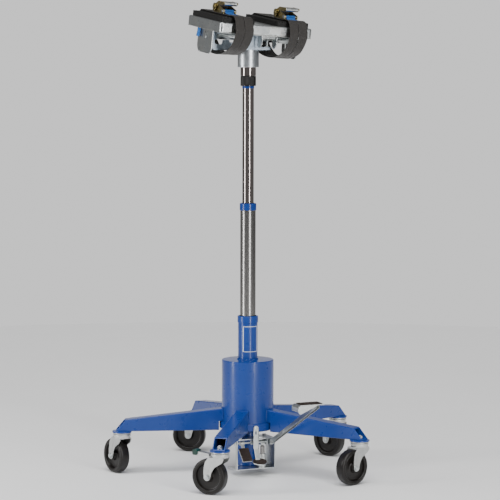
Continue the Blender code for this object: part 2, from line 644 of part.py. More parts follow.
def tray_mesh():
    """Inverted tray: top sheet with a turned-down rim, two ears on the shaft, and the screw clevis."""
    half_x, half_y = PLATFORM_WIDTH / 2, PLATFORM_DEPTH / 2
    top, rim_low = PLATFORM_TOP, PLATFORM_TOP - PLATFORM_RIM
    under = top - PLATFORM_SHEET
    shell = prism(rounded(-half_x, half_x, -half_y, half_y, PLATFORM_CORNER), rim_low, top)
    inner_x, inner_y = half_x - PLATFORM_SHEET, half_y - PLATFORM_SHEET
    inner_corner = PLATFORM_CORNER - PLATFORM_SHEET
    hollow = prism(rounded(-inner_x, inner_x, -inner_y, inner_y, inner_corner), rim_low - 0.01, under)
    ear = rounded(-EAR_DEPTH / 2, EAR_DEPTH / 2, -EAR_DROP, under + 0.001, EAR_CORNER)
    half_sheet = EAR_SHEET / 2
    ears = [prism(ear, x - half_sheet, x + half_sheet, "YZ") for x in (-EAR_X, EAR_X)]
    clevis = [(-0.102, under + 0.001), (-0.060, under + 0.001), (-0.060, -0.012)]
    clevis += arc((-0.078, -0.012), 0.018, 0, -110, 4) + [(-0.102, -0.018)]
    x, y = FORE_SCREW
    outer, inner = CLEVIS_HALF_WIDTH, CLEVIS_HALF_WIDTH - CLEVIS_SHEET
    cheeks = [prism(clevis, x - outer, x - inner, "YZ"), prism(clevis, x + inner, x + outer, "YZ")]
    nut_bar = box(x - inner - 0.001, x + inner + 0.001, y - 0.008, y + 0.008, 0.008, 0.022)
    bores = [moved(disc(SCREW_RADIUS + GAP, 0, 0.04, PIN_SIDES), x, y)]
    for sign in (-1, 1):
        start, end = (sign * (EAR_X - 0.029), 0, 0), (sign * (EAR_X + 0.041), 0, 0)
        bores.append(rod(start, end, SHAFT_RADIUS + GAP, SMALL_SIDES))
    return combined(combined(shell, cuts=[hollow]), [*ears, *cheeks, nut_bar], bores)


def pad_mesh(sign):
    """Rubber pad whose ribs run from front to back."""
    inner = PAD_INNER_EDGE
    outer = PLATFORM_WIDTH / 2 - PAD_EDGE
    half_y = PLATFORM_DEPTH / 2 - PAD_EDGE
    low = PLATFORM_TOP + GAP
    ribs = int((outer - inner) / PAD_RIB_PITCH)
    pitch = (outer - inner) / ribs
    outline = [(inner, low)]
    for k in range(ribs):
        x = inner + k * pitch
        outline += [
            (x, PAD_TOP - PAD_RIB_DEPTH), (x + 0.15 * pitch, PAD_TOP), (x + 0.7 * pitch, PAD_TOP),
            (x + 0.85 * pitch, PAD_TOP - PAD_RIB_DEPTH),
        ]
    outline += [(outer, PAD_TOP - PAD_RIB_DEPTH), (outer, low)]
    return prism([(sign * x, z) for x, z in outline], -half_y, half_y, "XZ")


def strap_loop():
    """Closed smooth (y, z) line of the webbing: over the pads, bulging in front, hanging under the head."""
    top = PAD_TOP + 0.001 + STRAP_THICKNESS / 2
    front = -PLATFORM_DEPTH / 2
    turns = [
        (0.0, top), (front + 0.062, top), (front + 0.004, top), (front - 0.021, top - 0.026),
        (front - 0.027, top - 0.062), (front + 0.018, top - 0.114), (front + 0.090, top - 0.142),
        (0.0, top - 0.152), (-front - 0.080, top - 0.138), (-front - 0.012, top - 0.100),
        (-front + 0.020, top - 0.052), (-front + 0.017, top - 0.022), (-front - 0.003, top),
        (-front - 0.062, top),
    ]
    count = len(turns)
    points = []
    for k in range(count):
        p0, p1, p2, p3 = (Vector(turns[(k + j - 1) % count]) for j in range(4))
        for step in range(2):
            t = step / 2
            bend = (2 * p0 - 5 * p1 + 4 * p2 - p3) * t**2 + (3 * p1 - p0 - 3 * p2 + p3) * t**3
            points.append((2 * p1 + (p2 - p0) * t + bend) / 2)
    return points


def strap_mesh(centre_x):
    """Webbing loop: the loop line given its thickness and the width of two turns side by side."""
    line = strap_loop()
    count = len(line)
    loops = []
    for side in (-1, 1):
        for x in (-STRAP_WIDTH / 2, STRAP_WIDTH / 2):
            loop = []
            for k, point in enumerate(line):
                along = (line[(k + 1) % count] - line[k - 1]).normalized()
                out = Vector((along.y, -along.x)) * side * STRAP_THICKNESS / 2
                loop.append((centre_x + x, point.x + out.x, point.y + out.y))
            loops.append(loop)
    bm = bmesh.new()
    rings = [[bm.verts.new(point) for point in loops[k]] for k in (0, 1, 3, 2)]
    for a, b in zip(rings, rings[1:] + rings[:1]):
        for k in range(count):
            after = (k + 1) % count
            bm.faces.new([a[k], a[after], b[after], b[k]])
    return finished(bm)


def ratchet_frame_mesh():
    """Two side plates joined by a floor and the front strap bolt."""
    half = RATCHET_HALF_WIDTH
    side = [(-0.052, 0.001), (0.040, 0.001), (0.050, 0.012), (0.044, 0.030), (0.010, 0.030), (-0.052, 0.018)]
    plates = [prism(side, x, x + RATCHET_PLATE, "YZ") for x in (-half, half - RATCHET_PLATE)]
    floor = box(-half + 0.001, half - 0.001, -0.050, -0.006, 0.001, 0.004)
    end = half + 0.003
    bolt = rod((-end, -0.042, 0.010), (end, -0.042, 0.010), RATCHET_BOLT_RADIUS, PIN_SIDES)
    return combined(floor, adds=[*plates, bolt], cuts=[spool_bore()])


def spool_bore():
    reach = 2 * RATCHET_HALF_WIDTH
    start, end = ((x, SPOOL_OFFSET, SPOOL_HEIGHT) for x in (-reach, reach))
    return rod(start, end, turning_bore(SPOOL_AXLE_RADIUS), PIN_SIDES)


def ratchet_spool_mesh():
    """Slotted spool with the webbing wound round it and a toothed wheel outside each plate."""
    half = RATCHET_HALF_WIDTH
    wound = half - RATCHET_PLATE - 0.001
    end, axle = half + SPOOL_AXLE_END, SPOOL_AXLE_RADIUS
    mesh = turned([
        (0, -end), (axle, -end), (axle, -wound), (SPOOL_RADIUS, -wound),
        (SPOOL_RADIUS, wound), (axle, wound), (axle, end), (0, end),
    ], PIN_SIDES)
    mesh.transform(Matrix.Rotation(math.pi / 2, 4, "Y"))
    return moved(mesh, 0, SPOOL_OFFSET, SPOOL_HEIGHT)


def ratchet_handle_mesh():
    """Folded-down handle: two cheeks outside the frame plates and a round grip at their end."""
    half = RATCHET_HALF_WIDTH + 0.001
    side = arc((SPOOL_OFFSET, SPOOL_HEIGHT), 0.016, -90, 90, 4)
    side += [(0.0, 0.046), (-0.050, 0.044), (-0.056, 0.036), (-0.046, 0.031), (0.004, 0.031)]
    cheeks = [prism(side, x, x + RATCHET_PLATE, "YZ") for x in (-half - RATCHET_PLATE, half)]
    end = half + 0.002
    grip = rod((-end, -0.048, 0.0385), (end, -0.048, 0.0385), HANDLE_GRIP_RADIUS, PIN_SIDES)
    bridge = box(-half - 0.001, half + 0.001, -0.036, -0.008, 0.0405, 0.0435)
    return combined(bridge, adds=[*cheeks, grip], cuts=[spool_bore()])


def screw_mesh(low, high, head_low):
    """Adjusting screw with a hexagon head part way up."""
    head = disc(SCREW_HEAD_RADIUS, head_low, head_low + SCREW_HEAD_HEIGHT, 6)
    return combined(disc(SCREW_RADIUS, low, high, PIN_SIDES), adds=[head])


def build_head():
    node("head_casting", casting_mesh(), "cast", origin=(0, 0, BOSS_BOTTOM))
    side_axis = axis_empty("tilt_side_axis", PIVOT, (0, TILT_SIDE_REST, 0))
    fore_axis = axis_empty("tilt_fore_axis", (0, 0, 0), (TILT_FORE_REST, 0, 0), side_axis)
    node("tilt_cradle", cradle_mesh(), "cast", side_axis)
    side_screw = screw_mesh(SIDE_SCREW_LOW, SIDE_SCREW_HIGH, SIDE_SCREW_HEAD)
    side_screw = moved(side_screw, SIDE_SCREW_X, SIDE_SCREW_Y)
    node("tilt_screw_side", side_screw, "zinc", side_axis, (SIDE_SCREW_X, SIDE_SCREW_Y, 0))
    node("platform_tray", tray_mesh(), "zinc", fore_axis)
    fore_screw = screw_mesh(FORE_SCREW_LOW, FORE_SCREW_HIGH, FORE_SCREW_HEAD)
    fore_screw = moved(fore_screw, FORE_SCREW.x, FORE_SCREW.y)
    node("tilt_screw_fore", fore_screw, "zinc", fore_axis, (FORE_SCREW.x, FORE_SCREW.y, 0))
    node("pad_left", pad_mesh(-1), "rubber", fore_axis)
    node("pad_right", pad_mesh(1), "rubber", fore_axis)
    strap_top = PAD_TOP + 0.002 + STRAP_THICKNESS
    sides = (("left", STRAP_LEFT_X, RATCHET_LEFT_Y), ("right", STRAP_RIGHT_X, RATCHET_RIGHT_Y))
    frame_mesh, spool_mesh, handle_mesh = ratchet_frame_mesh(), ratchet_spool_mesh(), ratchet_handle_mesh()
    for side, x, y in sides:
        node(f"strap_{side}", strap_mesh(x), "webbing", fore_axis)
        seat = axis_empty(f"ratchet_seat_{side}", (x, y, strap_top), parent=fore_axis)
        spool_axis = (0, SPOOL_OFFSET, SPOOL_HEIGHT)
        node(f"ratchet_frame_{side}", frame_mesh, "brass", seat)
        node(f"ratchet_spool_{side}", spool_mesh, "brass", seat, spool_axis)
        node(f"ratchet_handle_{side}", handle_mesh, "brass", seat, spool_axis)


# ---- foot pump and pedals ----
def bracket_mesh():
    """Folded sheet under the drum: top, bottom, right side, narrow left flange and the pin's hanging tab."""
    sheet = BRACKET_SHEET
    low = FOOT_BOTTOM - GAP - sheet
    left, right, front, back = BRACKET_LEFT, BRACKET_RIGHT, BRACKET_FRONT, BRACKET_BACK
    bottom = box(left, right, front, back, low, low + sheet)
    top = box(left, right, front, back, BRACKET_TOP - sheet, BRACKET_TOP)
    right_side = box(right - sheet, right, front, back, low, BRACKET_TOP)
    left_side = box(left, left + sheet, front, front + BRACKET_FLANGE, low, BRACKET_TOP)
    tab = box(PIN_TAB_X - sheet, PIN_TAB_X, front, front + 0.018, SMALL_PIVOT.z - 0.008, BRACKET_TOP)
    y, z = SMALL_PIVOT.y, SMALL_PIVOT.z
    pin_cut = rod((left - 0.01, y, z), (PIN_TAB_X + 0.005, y, z), SMALL_PIN_RADIUS + GAP, PIN_SIDES)
    y, z = LEVER_PIVOT.y, LEVER_PIVOT.z
    shaft_cut = rod((right - 0.01, y, z), (right + 0.01, y, z), turning_bore(LEVER_SHAFT_RADIUS), PIN_SIDES)
    foot_cut = disc(FOOT_RADIUS + GAP, low + sheet + GAP / 2, BRACKET_TOP + 0.01, COLUMN_SIDES)
    return combined(bottom, adds=[top, right_side, left_side, tab], cuts=[foot_cut, pin_cut, shaft_cut])


def pump_body_mesh():
    """Pump cylinder standing on the bracket's floor, open above for its plunger."""
    low = FOOT_BOTTOM
    floor = low + 0.006
    top = low + PUMP_HEIGHT
    bore = PLUNGER_RADIUS + GAP
    mesh = turned([
        (0, low), (PUMP_RADIUS, low), (PUMP_RADIUS, top), (bore, top), (bore, floor), (0, floor),
    ], SMALL_SIDES)
    return moved(mesh, PUMP_X, PUMP_Y)


def plunger_mesh():
    """Plunger with a narrow tip that bears on the crank's underside."""
    high = LEVER_PIVOT.z - CRANK_DROP - GAP
    low = high - PLUNGER_LENGTH
    shoulder = high - PLUNGER_TIP
    mesh = turned([
        (0, low), (PLUNGER_RADIUS, low), (PLUNGER_RADIUS, shoulder), (PLUNGER_TIP, high), (0, high),
    ], SMALL_SIDES)
    return moved(mesh, PUMP_X, PUMP_Y)


def lever_mesh():
    """Lever shaft with its crank over the plunger, and the arm that bends up to the pedal."""
    x, y, z = LEVER_PIVOT
    inner, outer = PUMP_X - CRANK_HALF_WIDTH, PUMP_X + CRANK_HALF_WIDTH
    shaft = rod((inner, y, z), (BRACKET_RIGHT + 0.004, y, z), LEVER_SHAFT_RADIUS, PIN_SIDES)
    crank = box(inner, outer, PUMP_Y - 0.005, y + 0.004, z - CRANK_DROP, z - 0.001)
    elbow = Vector((LEVER_ELBOW[0], z + LEVER_ELBOW[1]))
    tip = (PEDAL_FRONT + PEDAL_LENGTH * 0.55, PEDAL_HEIGHT - 0.012)
    low_arm = moved(bar((y + 0.004, z), elbow - Vector((0.004, 0)), LEVER_WIDTH, 0.018), x=x)
    arm = moved(bar(elbow, tip, LEVER_WIDTH, LEVER_HEIGHT), x=x)
    return combined(low_arm, adds=[arm, shaft, crank])


def pedal_mesh():
    """Pedal plate with a turned-down left edge and the mat on its top."""
    x1 = LEVER_PIVOT.x + PEDAL_OVERHANG
    x0 = x1 - PEDAL_WIDTH
    low = PEDAL_HEIGHT - 0.004
    radius, edge_low = PEDAL_EDGE_RADIUS, low - PEDAL_EDGE_DROP
    bend = (x0 + radius, low + 0.004 - radius)
    outline = [(x1, low + 0.004)] + arc(bend, radius, 90, 180, 4) + [(x0, edge_low), (x0 + 0.003, edge_low)]
    outline += arc(bend, radius - 0.003, 180, 90, 4) + [(x1, low + 0.001)]
    return prism(outline, PEDAL_FRONT, PEDAL_FRONT + PEDAL_LENGTH, "XZ")


def approach_mesh():
    """Flat bar that stands in front of the bracket, on a hub behind it, with an oval pad at its foot."""
    x, face, bar_sheet = APPROACH_X, APPROACH_FACE, APPROACH_BAR
    y, z = SMALL_PIVOT.y, SMALL_PIVOT.z
    hub = rod((x - 0.010, y, z), (x + 0.010, y, z), SMALL_HUB_RADIUS, PIN_SIDES)
    web = box(x - 0.003, x + 0.003, face, y, z - 0.005, z + 0.005)
    outline = rounded(x - 0.010, x + 0.010, z - 0.0255, z + 0.0685, 0.0095)
    upright = prism(outline, face - bar_sheet, face, "XZ")
    foot = moved(bar((face - 0.002, z - 0.0215), (face - 0.018, z - 0.0645), 0.018, bar_sheet), x=x + 0.002)
    half_x, half_y = APPROACH_PAD
    oval = [(x + 0.006 + half_x * math.cos(a), face - 0.026 + half_y * math.sin(a))
            for a in (math.tau * k / SMALL_SIDES for k in range(SMALL_SIDES))]
    pad = prism(oval, z - 0.073, z - 0.063)
    bore = rod((-0.1, y, z), (0.1, y, z), SMALL_PIN_RADIUS + GAP, PIN_SIDES)
    return combined(upright, adds=[hub, web, foot, pad], cuts=[bore])


def release_mesh():
    """Short arm from the pivot pin down to a tilted rectangular pad."""
    x = RELEASE_X
    y, z = SMALL_PIVOT.y, SMALL_PIVOT.z
    hub = rod((x - 0.009, y, z), (x + 0.009, y, z), SMALL_HUB_RADIUS, PIN_SIDES)
    arm = moved(bar((y, z), (y - 0.026, z - 0.0355), 0.012, 0.004), x=x)
    pad = moved(bar((y - 0.014, z - 0.0195), (y - 0.056, z - 0.0615), RELEASE_PAD_WIDTH, 0.010), x=x)
    bore = rod((-0.12, y, z), (0.1, y, z), SMALL_PIN_RADIUS + GAP, PIN_SIDES)
    return combined(pad, adds=[arm, hub], cuts=[bore])


def build_pump():
    node("pump_bracket", bracket_mesh(), "zinc")
    node("pump_body", pump_body_mesh(), "zinc")
    node("pump_plunger", plunger_mesh(), "steel", origin=(PUMP_X, PUMP_Y, LEVER_PIVOT.z))
    node("pump_lever", lever_mesh(), "zinc", origin=LEVER_PIVOT)
    node("pump_pedal", pedal_mesh(), "zinc", origin=LEVER_PIVOT)
    pin_left, pin_right = BRACKET_LEFT - 0.004, PIN_TAB_X + 0.002
    y, z = SMALL_PIVOT.y, SMALL_PIVOT.z
    pin = rod((pin_left, y, z), (pin_right, y, z), SMALL_PIN_RADIUS, PIN_SIDES)
    node("pedal_pivot_pin", pin, "zinc", origin=SMALL_PIVOT)
    node("approach_pedal", approach_mesh(), "zinc", origin=SMALL_PIVOT)
    node("release_pedal", release_mesh(), "zinc", origin=SMALL_PIVOT)


for item in list(bpy.data.objects):
    bpy.data.objects.remove(item, do_unlink=True)

MATERIALS = {
    "blue": material("blue_enamel", (0.018, 0.100, 0.380), 0.35),
    "zinc": material("zinc_plate", (0.62, 0.64, 0.64), 0.35, 1.0),
    "steel": material("ground_steel", (0.42, 0.42, 0.41), 0.28, 1.0),
    "chrome": material("hard_chrome", (0.70, 0.68, 0.68), 0.10, 1.0),
    "cast": material("cast_silver", (0.45, 0.50, 0.55), 0.45, 0.6),
    "black": material("black_polyamide", (0.020, 0.019, 0.018), 0.45),
    "rubber": material("black_rubber", (0.018, 0.017, 0.016), 0.70),
    "webbing": material("dark_webbing", (0.040, 0.033, 0.028), 0.80),
    "brass": material("yellow_zinc", (0.42, 0.34, 0.14), 0.38, 0.9),
}

build_base()
build_column()
build_head()
build_pump()
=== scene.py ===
# Looks of the telescopic transmission jack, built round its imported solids.
import json
import math

import bmesh
import bpy
from mathutils import Matrix, Vector


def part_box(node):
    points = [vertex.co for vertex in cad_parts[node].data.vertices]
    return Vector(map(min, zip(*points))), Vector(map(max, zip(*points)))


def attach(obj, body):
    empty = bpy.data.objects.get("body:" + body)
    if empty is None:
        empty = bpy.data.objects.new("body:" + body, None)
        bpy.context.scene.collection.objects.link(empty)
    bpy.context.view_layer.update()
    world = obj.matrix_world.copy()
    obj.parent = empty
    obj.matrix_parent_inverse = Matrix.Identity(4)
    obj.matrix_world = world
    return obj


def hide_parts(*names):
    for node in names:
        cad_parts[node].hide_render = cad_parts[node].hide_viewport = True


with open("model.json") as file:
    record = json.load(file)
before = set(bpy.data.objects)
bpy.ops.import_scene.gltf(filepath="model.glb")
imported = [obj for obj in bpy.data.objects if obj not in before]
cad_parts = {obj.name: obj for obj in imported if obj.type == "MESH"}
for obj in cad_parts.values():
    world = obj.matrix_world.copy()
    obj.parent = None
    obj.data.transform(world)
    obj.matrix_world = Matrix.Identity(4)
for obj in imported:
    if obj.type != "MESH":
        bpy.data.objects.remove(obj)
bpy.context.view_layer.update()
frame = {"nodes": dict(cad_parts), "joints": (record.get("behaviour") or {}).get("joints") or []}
JOINTS = {joint["name"]: joint for joint in frame["joints"]}
MM = 0.001
TURN = math.tau

# ---- sizes that the solids don't give ----
GAP = 0.0003
KING_BORE = 0.0066
TUBE_WALL = 0.0045
PISTON_HEIGHT = 0.018
STRAP_WEB = 0.0026
BLUE_WEB = 0.0018
PAD_SLOPE = math.radians(16)

# ---- camera and light; azimuth 0 is the -Y side ----
CAMERA_AZIMUTH = math.radians(-24)
CAMERA_DISTANCE = 8.46
CAMERA_HEIGHT = 1.581
CAMERA_LENS = 157.4
CAMERA_ROLL = math.radians(0.1)
AIM_HEIGHT = 0.8697
AIM_SHIFT = 0.008
WORLD_GREY = 0.21
BACKDROP_WHITE = 0.90
BACKDROP_WIDTH = math.radians(10.263)
BACKDROP_FADE = math.radians(16.26)
SUN_STRENGTH = 2.9
SUN_WIDTH = math.radians(50)
FLOOR_RADIUS = 5.0
SOFTBOX_AIM = 0.9
# name, azimuth from the camera's, height, distance, (width, height), watts
SOFTBOXES = (
    ("key_left", math.radians(-68), 1.4, 3.2, (0.45, 3.2), 80),
    ("key_right", math.radians(30), 1.4, 3.4, (0.35, 3.2), 80),
)


# ---- shapes ----
def finished(bm):
    bmesh.ops.recalc_face_normals(bm, faces=bm.faces)
    mesh = bpy.data.meshes.new("shape")
    bm.to_mesh(mesh)
    bm.free()
    return mesh


def turned(profile, sides=96, hollow=False):
    """Body turned about Z from (radius, height) points; a hollow one closes on its first point."""
    bm = bmesh.new()
    rings = []
    for radius, height in profile:
        count = sides if radius > 1e-6 else 1
        turns = [TURN * k / sides for k in range(count)]
        rings.append([bm.verts.new((radius * math.cos(a), radius * math.sin(a), height)) for a in turns])
    pairs = list(zip(rings, rings[1:]))
    if hollow:
        pairs.append((rings[-1], rings[0]))
    for lower, upper in pairs:
        for k in range(sides):
            there = (k + 1) % sides
            corners = [lower[k % len(lower)], lower[there % len(lower)]]
            corners += [upper[there % len(upper)], upper[k % len(upper)]]
            corners = list(dict.fromkeys(corners))
            if len(corners) > 2:
                bm.faces.new(corners)
    return finished(bm)


def disc(radius, low, high, sides=64, edge=0.0):
    """Round plate or bar along Z with its rims eased by edge."""
    if not edge:
        return turned([(0, low), (radius, low), (radius, high), (0, high)], sides)
    return turned([
        (0, low), (radius - edge, low), (radius - 0.3 * edge, low + 0.3 * edge), (radius, low + edge),
        (radius, high - edge), (radius - 0.3 * edge, high - 0.3 * edge), (radius - edge, high), (0, high),
    ], sides)


def tube(outer, inner, low, high, sides=96, edge=0.0005):
    return turned([
        (inner, low), (outer - edge, low), (outer, low + edge), (outer, high - edge), (outer - edge, high),
        (inner, high),
    ], sides, hollow=True)


def prism(outline, low, high, plane="XY"):
    """Outline of (u, v) points in a plane, extruded along that plane's normal."""
    place = {
        "XY": lambda u, v, w: (u, v, w),
        "XZ": lambda u, v, w: (u, w, v),
        "YZ": lambda u, v, w: (w, u, v),
    }[plane]
    bm = bmesh.new()
    ends = [[bm.verts.new(place(u, v, w)) for u, v in outline] for w in (low, high)]
    for end in ends:
        bm.faces.new(end)
    count = len(outline)
    for k in range(count):
        after = (k + 1) % count
        bm.faces.new([ends[0][k], ends[0][after], ends[1][after], ends[1][k]])
    return finished(bm)


def box(x0, x1, y0, y1, z0, z1):
    return prism([(x0, y0), (x1, y0), (x1, y1), (x0, y1)], z0, z1)


def arc(centre, radius, start, end, steps=8):
    turns = [math.radians(start + (end - start) * k / steps) for k in range(steps + 1)]
    return [(centre[0] + radius * math.cos(a), centre[1] + radius * math.sin(a)) for a in turns]


def rounded(x0, x1, y0, y1, radius, steps=6):
    outline = arc((x1 - radius, y1 - radius), radius, 0, 90, steps)
    outline += arc((x0 + radius, y1 - radius), radius, 90, 180, steps)
    outline += arc((x0 + radius, y0 + radius), radius, 180, 270, steps)
    outline += arc((x1 - radius, y0 + radius), radius, 270, 360, steps)
    return outline


def ellipse(x, y, across, along, sides=48):
    turns = [TURN * k / sides for k in range(sides)]
    return [(x + across * math.cos(a), y + along * math.sin(a)) for a in turns]


def hexagon(radius, low, high, ease=0.0008):
    """Six-sided nut or bolt head with a turned chamfer on both ends."""
    body = prism(ellipse(0, 0, radius, radius, 6), low, high)
    crown = turned([
        (0, low), (radius - 1.4 * ease, low), (radius + ease, low + 1.6 * ease),
        (radius + ease, high - 1.6 * ease), (radius - 1.4 * ease, high), (0, high),
    ], 32)
    return shape([body], common=[crown])


def moved(mesh, x=0.0, y=0.0, z=0.0):
    mesh.transform(Matrix.Translation((x, y, z)))
    return mesh


def aimed(mesh, start, end):
    """A body made along Z from height 0, laid from start towards end."""
    start, end = Vector(start), Vector(end)
    turn = Vector((0, 0, 1)).rotation_difference(end - start).to_matrix().to_4x4()
    mesh.transform(Matrix.Translation(start) @ turn)
    return mesh


def rod(start, end, radius, sides=32, edge=0.0):
    return aimed(disc(radius, 0, (Vector(end) - Vector(start)).length, sides, edge), start, end)


def bar(start, end, width, thickness):
    """Flat bar between two (y, z) points, its width along X and centred on x = 0."""
    start, end = Vector(start), Vector(end)
    side = (end - start).normalized().orthogonal() * thickness / 2
    outline = [start + side, end + side, end - side, start - side]
    return prism([tuple(point) for point in outline], -width / 2, width / 2, "YZ")


def shape(adds, cuts=(), common=(), ease=0.0, steps=2):
    """One mesh: the added bodies joined, less the cuts, with its sharp edges rounded by ease."""
    base = bpy.data.objects.new("base", adds[0])
    bpy.context.scene.collection.objects.link(base)
    tools = []
    for operation, meshes in (("UNION", adds[1:]), ("DIFFERENCE", cuts), ("INTERSECT", common)):
        for mesh in meshes:
            tool = bpy.data.objects.new("tool", mesh)
            bpy.context.scene.collection.objects.link(tool)
            tools.append(tool)
            step = base.modifiers.new(operation, "BOOLEAN")
            step.operation = operation
            step.object = tool
    if ease:
        bevel = base.modifiers.new("ease", "BEVEL")
        bevel.width = ease
        bevel.segments = steps
        bevel.limit_method = "ANGLE"
        bevel.angle_limit = math.radians(32)
        bevel.use_clamp_overlap = True
    seen = base.evaluated_get(bpy.context.evaluated_depsgraph_get())
    result = bpy.data.meshes.new_from_object(seen)
    for item in [base, *tools]:
        bpy.data.objects.remove(item, do_unlink=True)
    return result


def ribbon(line, width, thickness, centre_x=0.0, closed=True, across=8):
    """Webbing along a (y, z) line, its width along X, with a soft edge; UV is (across, along) in metres."""
    half, t = width / 2, thickness / 2
    section = [(-half, 0), (-half + 0.35 * t, 0.8 * t)]
    section += [(-half + t + (width - 2 * t) * k / across, t) for k in range(across + 1)]
    section += [(half - 0.35 * t, 0.8 * t), (half, 0)]
    section += [(x, -y) for x, y in reversed(section[1:-1])]
    count = len(line)
    bm = bmesh.new()
    uv = bm.loops.layers.uv.new("weave")
    rings, lengths, run = [], [], 0.0
    for k, point in enumerate(line):
        before = line[k - 1] if closed or k else point
        after = line[(k + 1) % count] if closed or k < count - 1 else point
        along = (after - before).normalized()
        out = Vector((along.y, -along.x))
        if k:
            run += (point - line[k - 1]).length
        lengths.append(run)
        places = [(centre_x + x, point.x + out.x * h, point.y + out.y * h) for x, h in section]
        rings.append([bm.verts.new(place) for place in places])
    spans = [(k, (k + 1) % count) for k in range(count if closed else count - 1)]
    size = len(section)
    for a, b in spans:
        end = lengths[b] if b > a else run + (line[0] - line[-1]).length
        for j in range(size):
            i = (j + 1) % size
            face = bm.faces.new([rings[a][j], rings[a][i], rings[b][i], rings[b][j]])
            face.smooth = True
            for loop, (u, v) in zip(face.loops, (
                (section[j][0], lengths[a]), (section[i][0], lengths[a]), (section[i][0], end),
                (section[j][0], end),
            )):
                loop[uv].uv = (u, v)
    if not closed:
        bm.faces.new(rings[0])
        bm.faces.new(rings[-1])
    return finished(bm)


def smooth_line(points, steps=8, closed=True):
    """Catmull-Rom curve through (y, z) points."""
    points = [Vector(point) for point in points]
    count = len(points)
    line = []
    for k in range(count if closed else count - 1):
        near = [points[(k + j - 1) % count] for j in range(4)]
        if not closed:
            near = [points[min(max(k + j - 1, 0), count - 1)] for j in range(4)]
        p0, p1, p2, p3 = near
        for step in range(steps):
            t = step / steps
            bend = (2 * p0 - 5 * p1 + 4 * p2 - p3) * t**2 + (3 * p1 - p0 - 3 * p2 + p3) * t**3
            line.append((2 * p1 + (p2 - p0) * t + bend) / 2)
    if not closed:
        line.append(points[-1])
    return line


# ---- placing ----
def local_box(node, matrix):
    """Lowest and highest corner of a CAD node in the frame of the matrix."""
    inverse = matrix.inverted()
    points = [inverse @ vertex.co for vertex in frame["nodes"][node].data.vertices]
    low = Vector([min(point[k] for point in points) for k in range(3)])
    high = Vector([max(point[k] for point in points) for k in range(3)])
    return low, high


def piece(name, mesh, finish, body, matrix=None, stands_for=(), sharp=38):
    """A visible piece: its mesh in the frame of the matrix, its finish, and the body it rides on."""
    made = bpy.data.objects.new(name, mesh)
    bpy.context.scene.collection.objects.link(made)
    if matrix is not None:
        made.matrix_world = matrix
    mesh.shade_smooth()
    mesh.set_sharp_from_angle(angle=math.radians(sharp))
    even = made.modifiers.new("even", "WEIGHTED_NORMAL")
    even.keep_sharp = True
    even.weight = 60
    mesh.materials.clear()
    mesh.materials.append(FINISHES[finish][0])
    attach(made, body)
    if stands_for:
        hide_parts(*stands_for)
    return made


def axes(x=None, y=None, z=None, at=(0, 0, 0)):
    """Matrix of a right-handed frame from two of its axes and its origin."""
    x, y, z = (Vector(v) if v is not None else None for v in (x, y, z))
    if z is None:
        z = x.cross(y)
    if x is None:
        x = y.cross(z)
    if y is None:
        y = z.cross(x)
    turn = Matrix((x.normalized(), y.normalized(), z.normalized())).transposed().to_4x4()
    return Matrix.Translation(at) @ turn


# ---- finishes ----
class Nodes:
    """Short way to add and link shader nodes of one material."""

    def __init__(self, name):
        self.material = bpy.data.materials.new(name)
        self.material.use_nodes = True
        self.tree = self.material.node_tree
        self.shader = self.tree.nodes["Principled BSDF"]

    def add(self, kind, **values):
        made = self.tree.nodes.new(kind)
        for key, value in values.items():
            setattr(made, key, value)
        return made

    def link(self, source, target):
        self.tree.links.new(source, target)

    def place(self, scale=(1, 1, 1), source="Object"):
        coordinates = self.add("ShaderNodeTexCoord")
        mapping = self.add("ShaderNodeMapping")
        mapping.inputs["Scale"].default_value = scale
        self.link(coordinates.outputs[source], mapping.inputs["Vector"])
        return mapping.outputs["Vector"]

    def noise(self, size, detail=3.0, rough=0.55, stretch=(1, 1, 1), source="Object"):
        """Noise whose grains are about size metres across."""
        made = self.add("ShaderNodeTexNoise")
        made.inputs["Scale"].default_value = 1.0 / size
        made.inputs["Detail"].default_value = detail
        made.inputs["Roughness"].default_value = rough
        self.link(self.place(stretch, source), made.inputs["Vector"])
        return made.outputs["Fac"]

    def span(self, value, low, high, out_low=0.0, out_high=1.0):
        made = self.add("ShaderNodeMapRange")
        for key, number in (("From Min", low), ("From Max", high), ("To Min", out_low), ("To Max", out_high)):
            made.inputs[key].default_value = number
        self.link(value, made.inputs["Value"])
        return made.outputs["Result"]

    def mix(self, factor, first, second, blend="MIX"):
        made = self.add("ShaderNodeMix", data_type="RGBA", blend_type=blend)
        if isinstance(factor, (int, float)):
            made.inputs["Factor"].default_value = factor
        else:
            self.link(factor, made.inputs["Factor"])
        for key, colour in (("A", first), ("B", second)):
            socket = [s for s in made.inputs if s.name == key and s.type == "RGBA"][0]
            if isinstance(colour, tuple):
                socket.default_value = (*colour, 1)
            else:
                self.link(colour, socket)
        return [s for s in made.outputs if s.type == "RGBA"][0]

    def math(self, operation, first, second=0.0):
        made = self.add("ShaderNodeMath", operation=operation)
        for socket, value in zip(made.inputs, (first, second)):
            if isinstance(value, (int, float)):
                socket.default_value = value
            else:
                self.link(value, socket)
        return made.outputs[0]

    def bump(self, height, depth, strength=1.0):
        made = self.add("ShaderNodeBump")
        made.inputs["Strength"].default_value = strength
        made.inputs["Distance"].default_value = depth
        self.link(height, made.inputs["Height"])
        last = self.shader.inputs["Normal"]
        if last.is_linked:
            self.link(last.links[0].from_socket, made.inputs["Normal"])
        self.link(made.outputs["Normal"], last)

    def set(self, colour=None, roughness=None, **constants):
        for key, value in (("Base Color", colour), ("Roughness", roughness)):
            if value is None:
                continue
            if isinstance(value, (int, float)):
                self.shader.inputs[key].default_value = value
            elif isinstance(value, tuple):
                self.shader.inputs[key].default_value = (*value, 1)
            else:
                self.link(value, self.shader.inputs[key])
        for key, value in constants.items():
            self.shader.inputs[key.replace("_", " ")].default_value = value


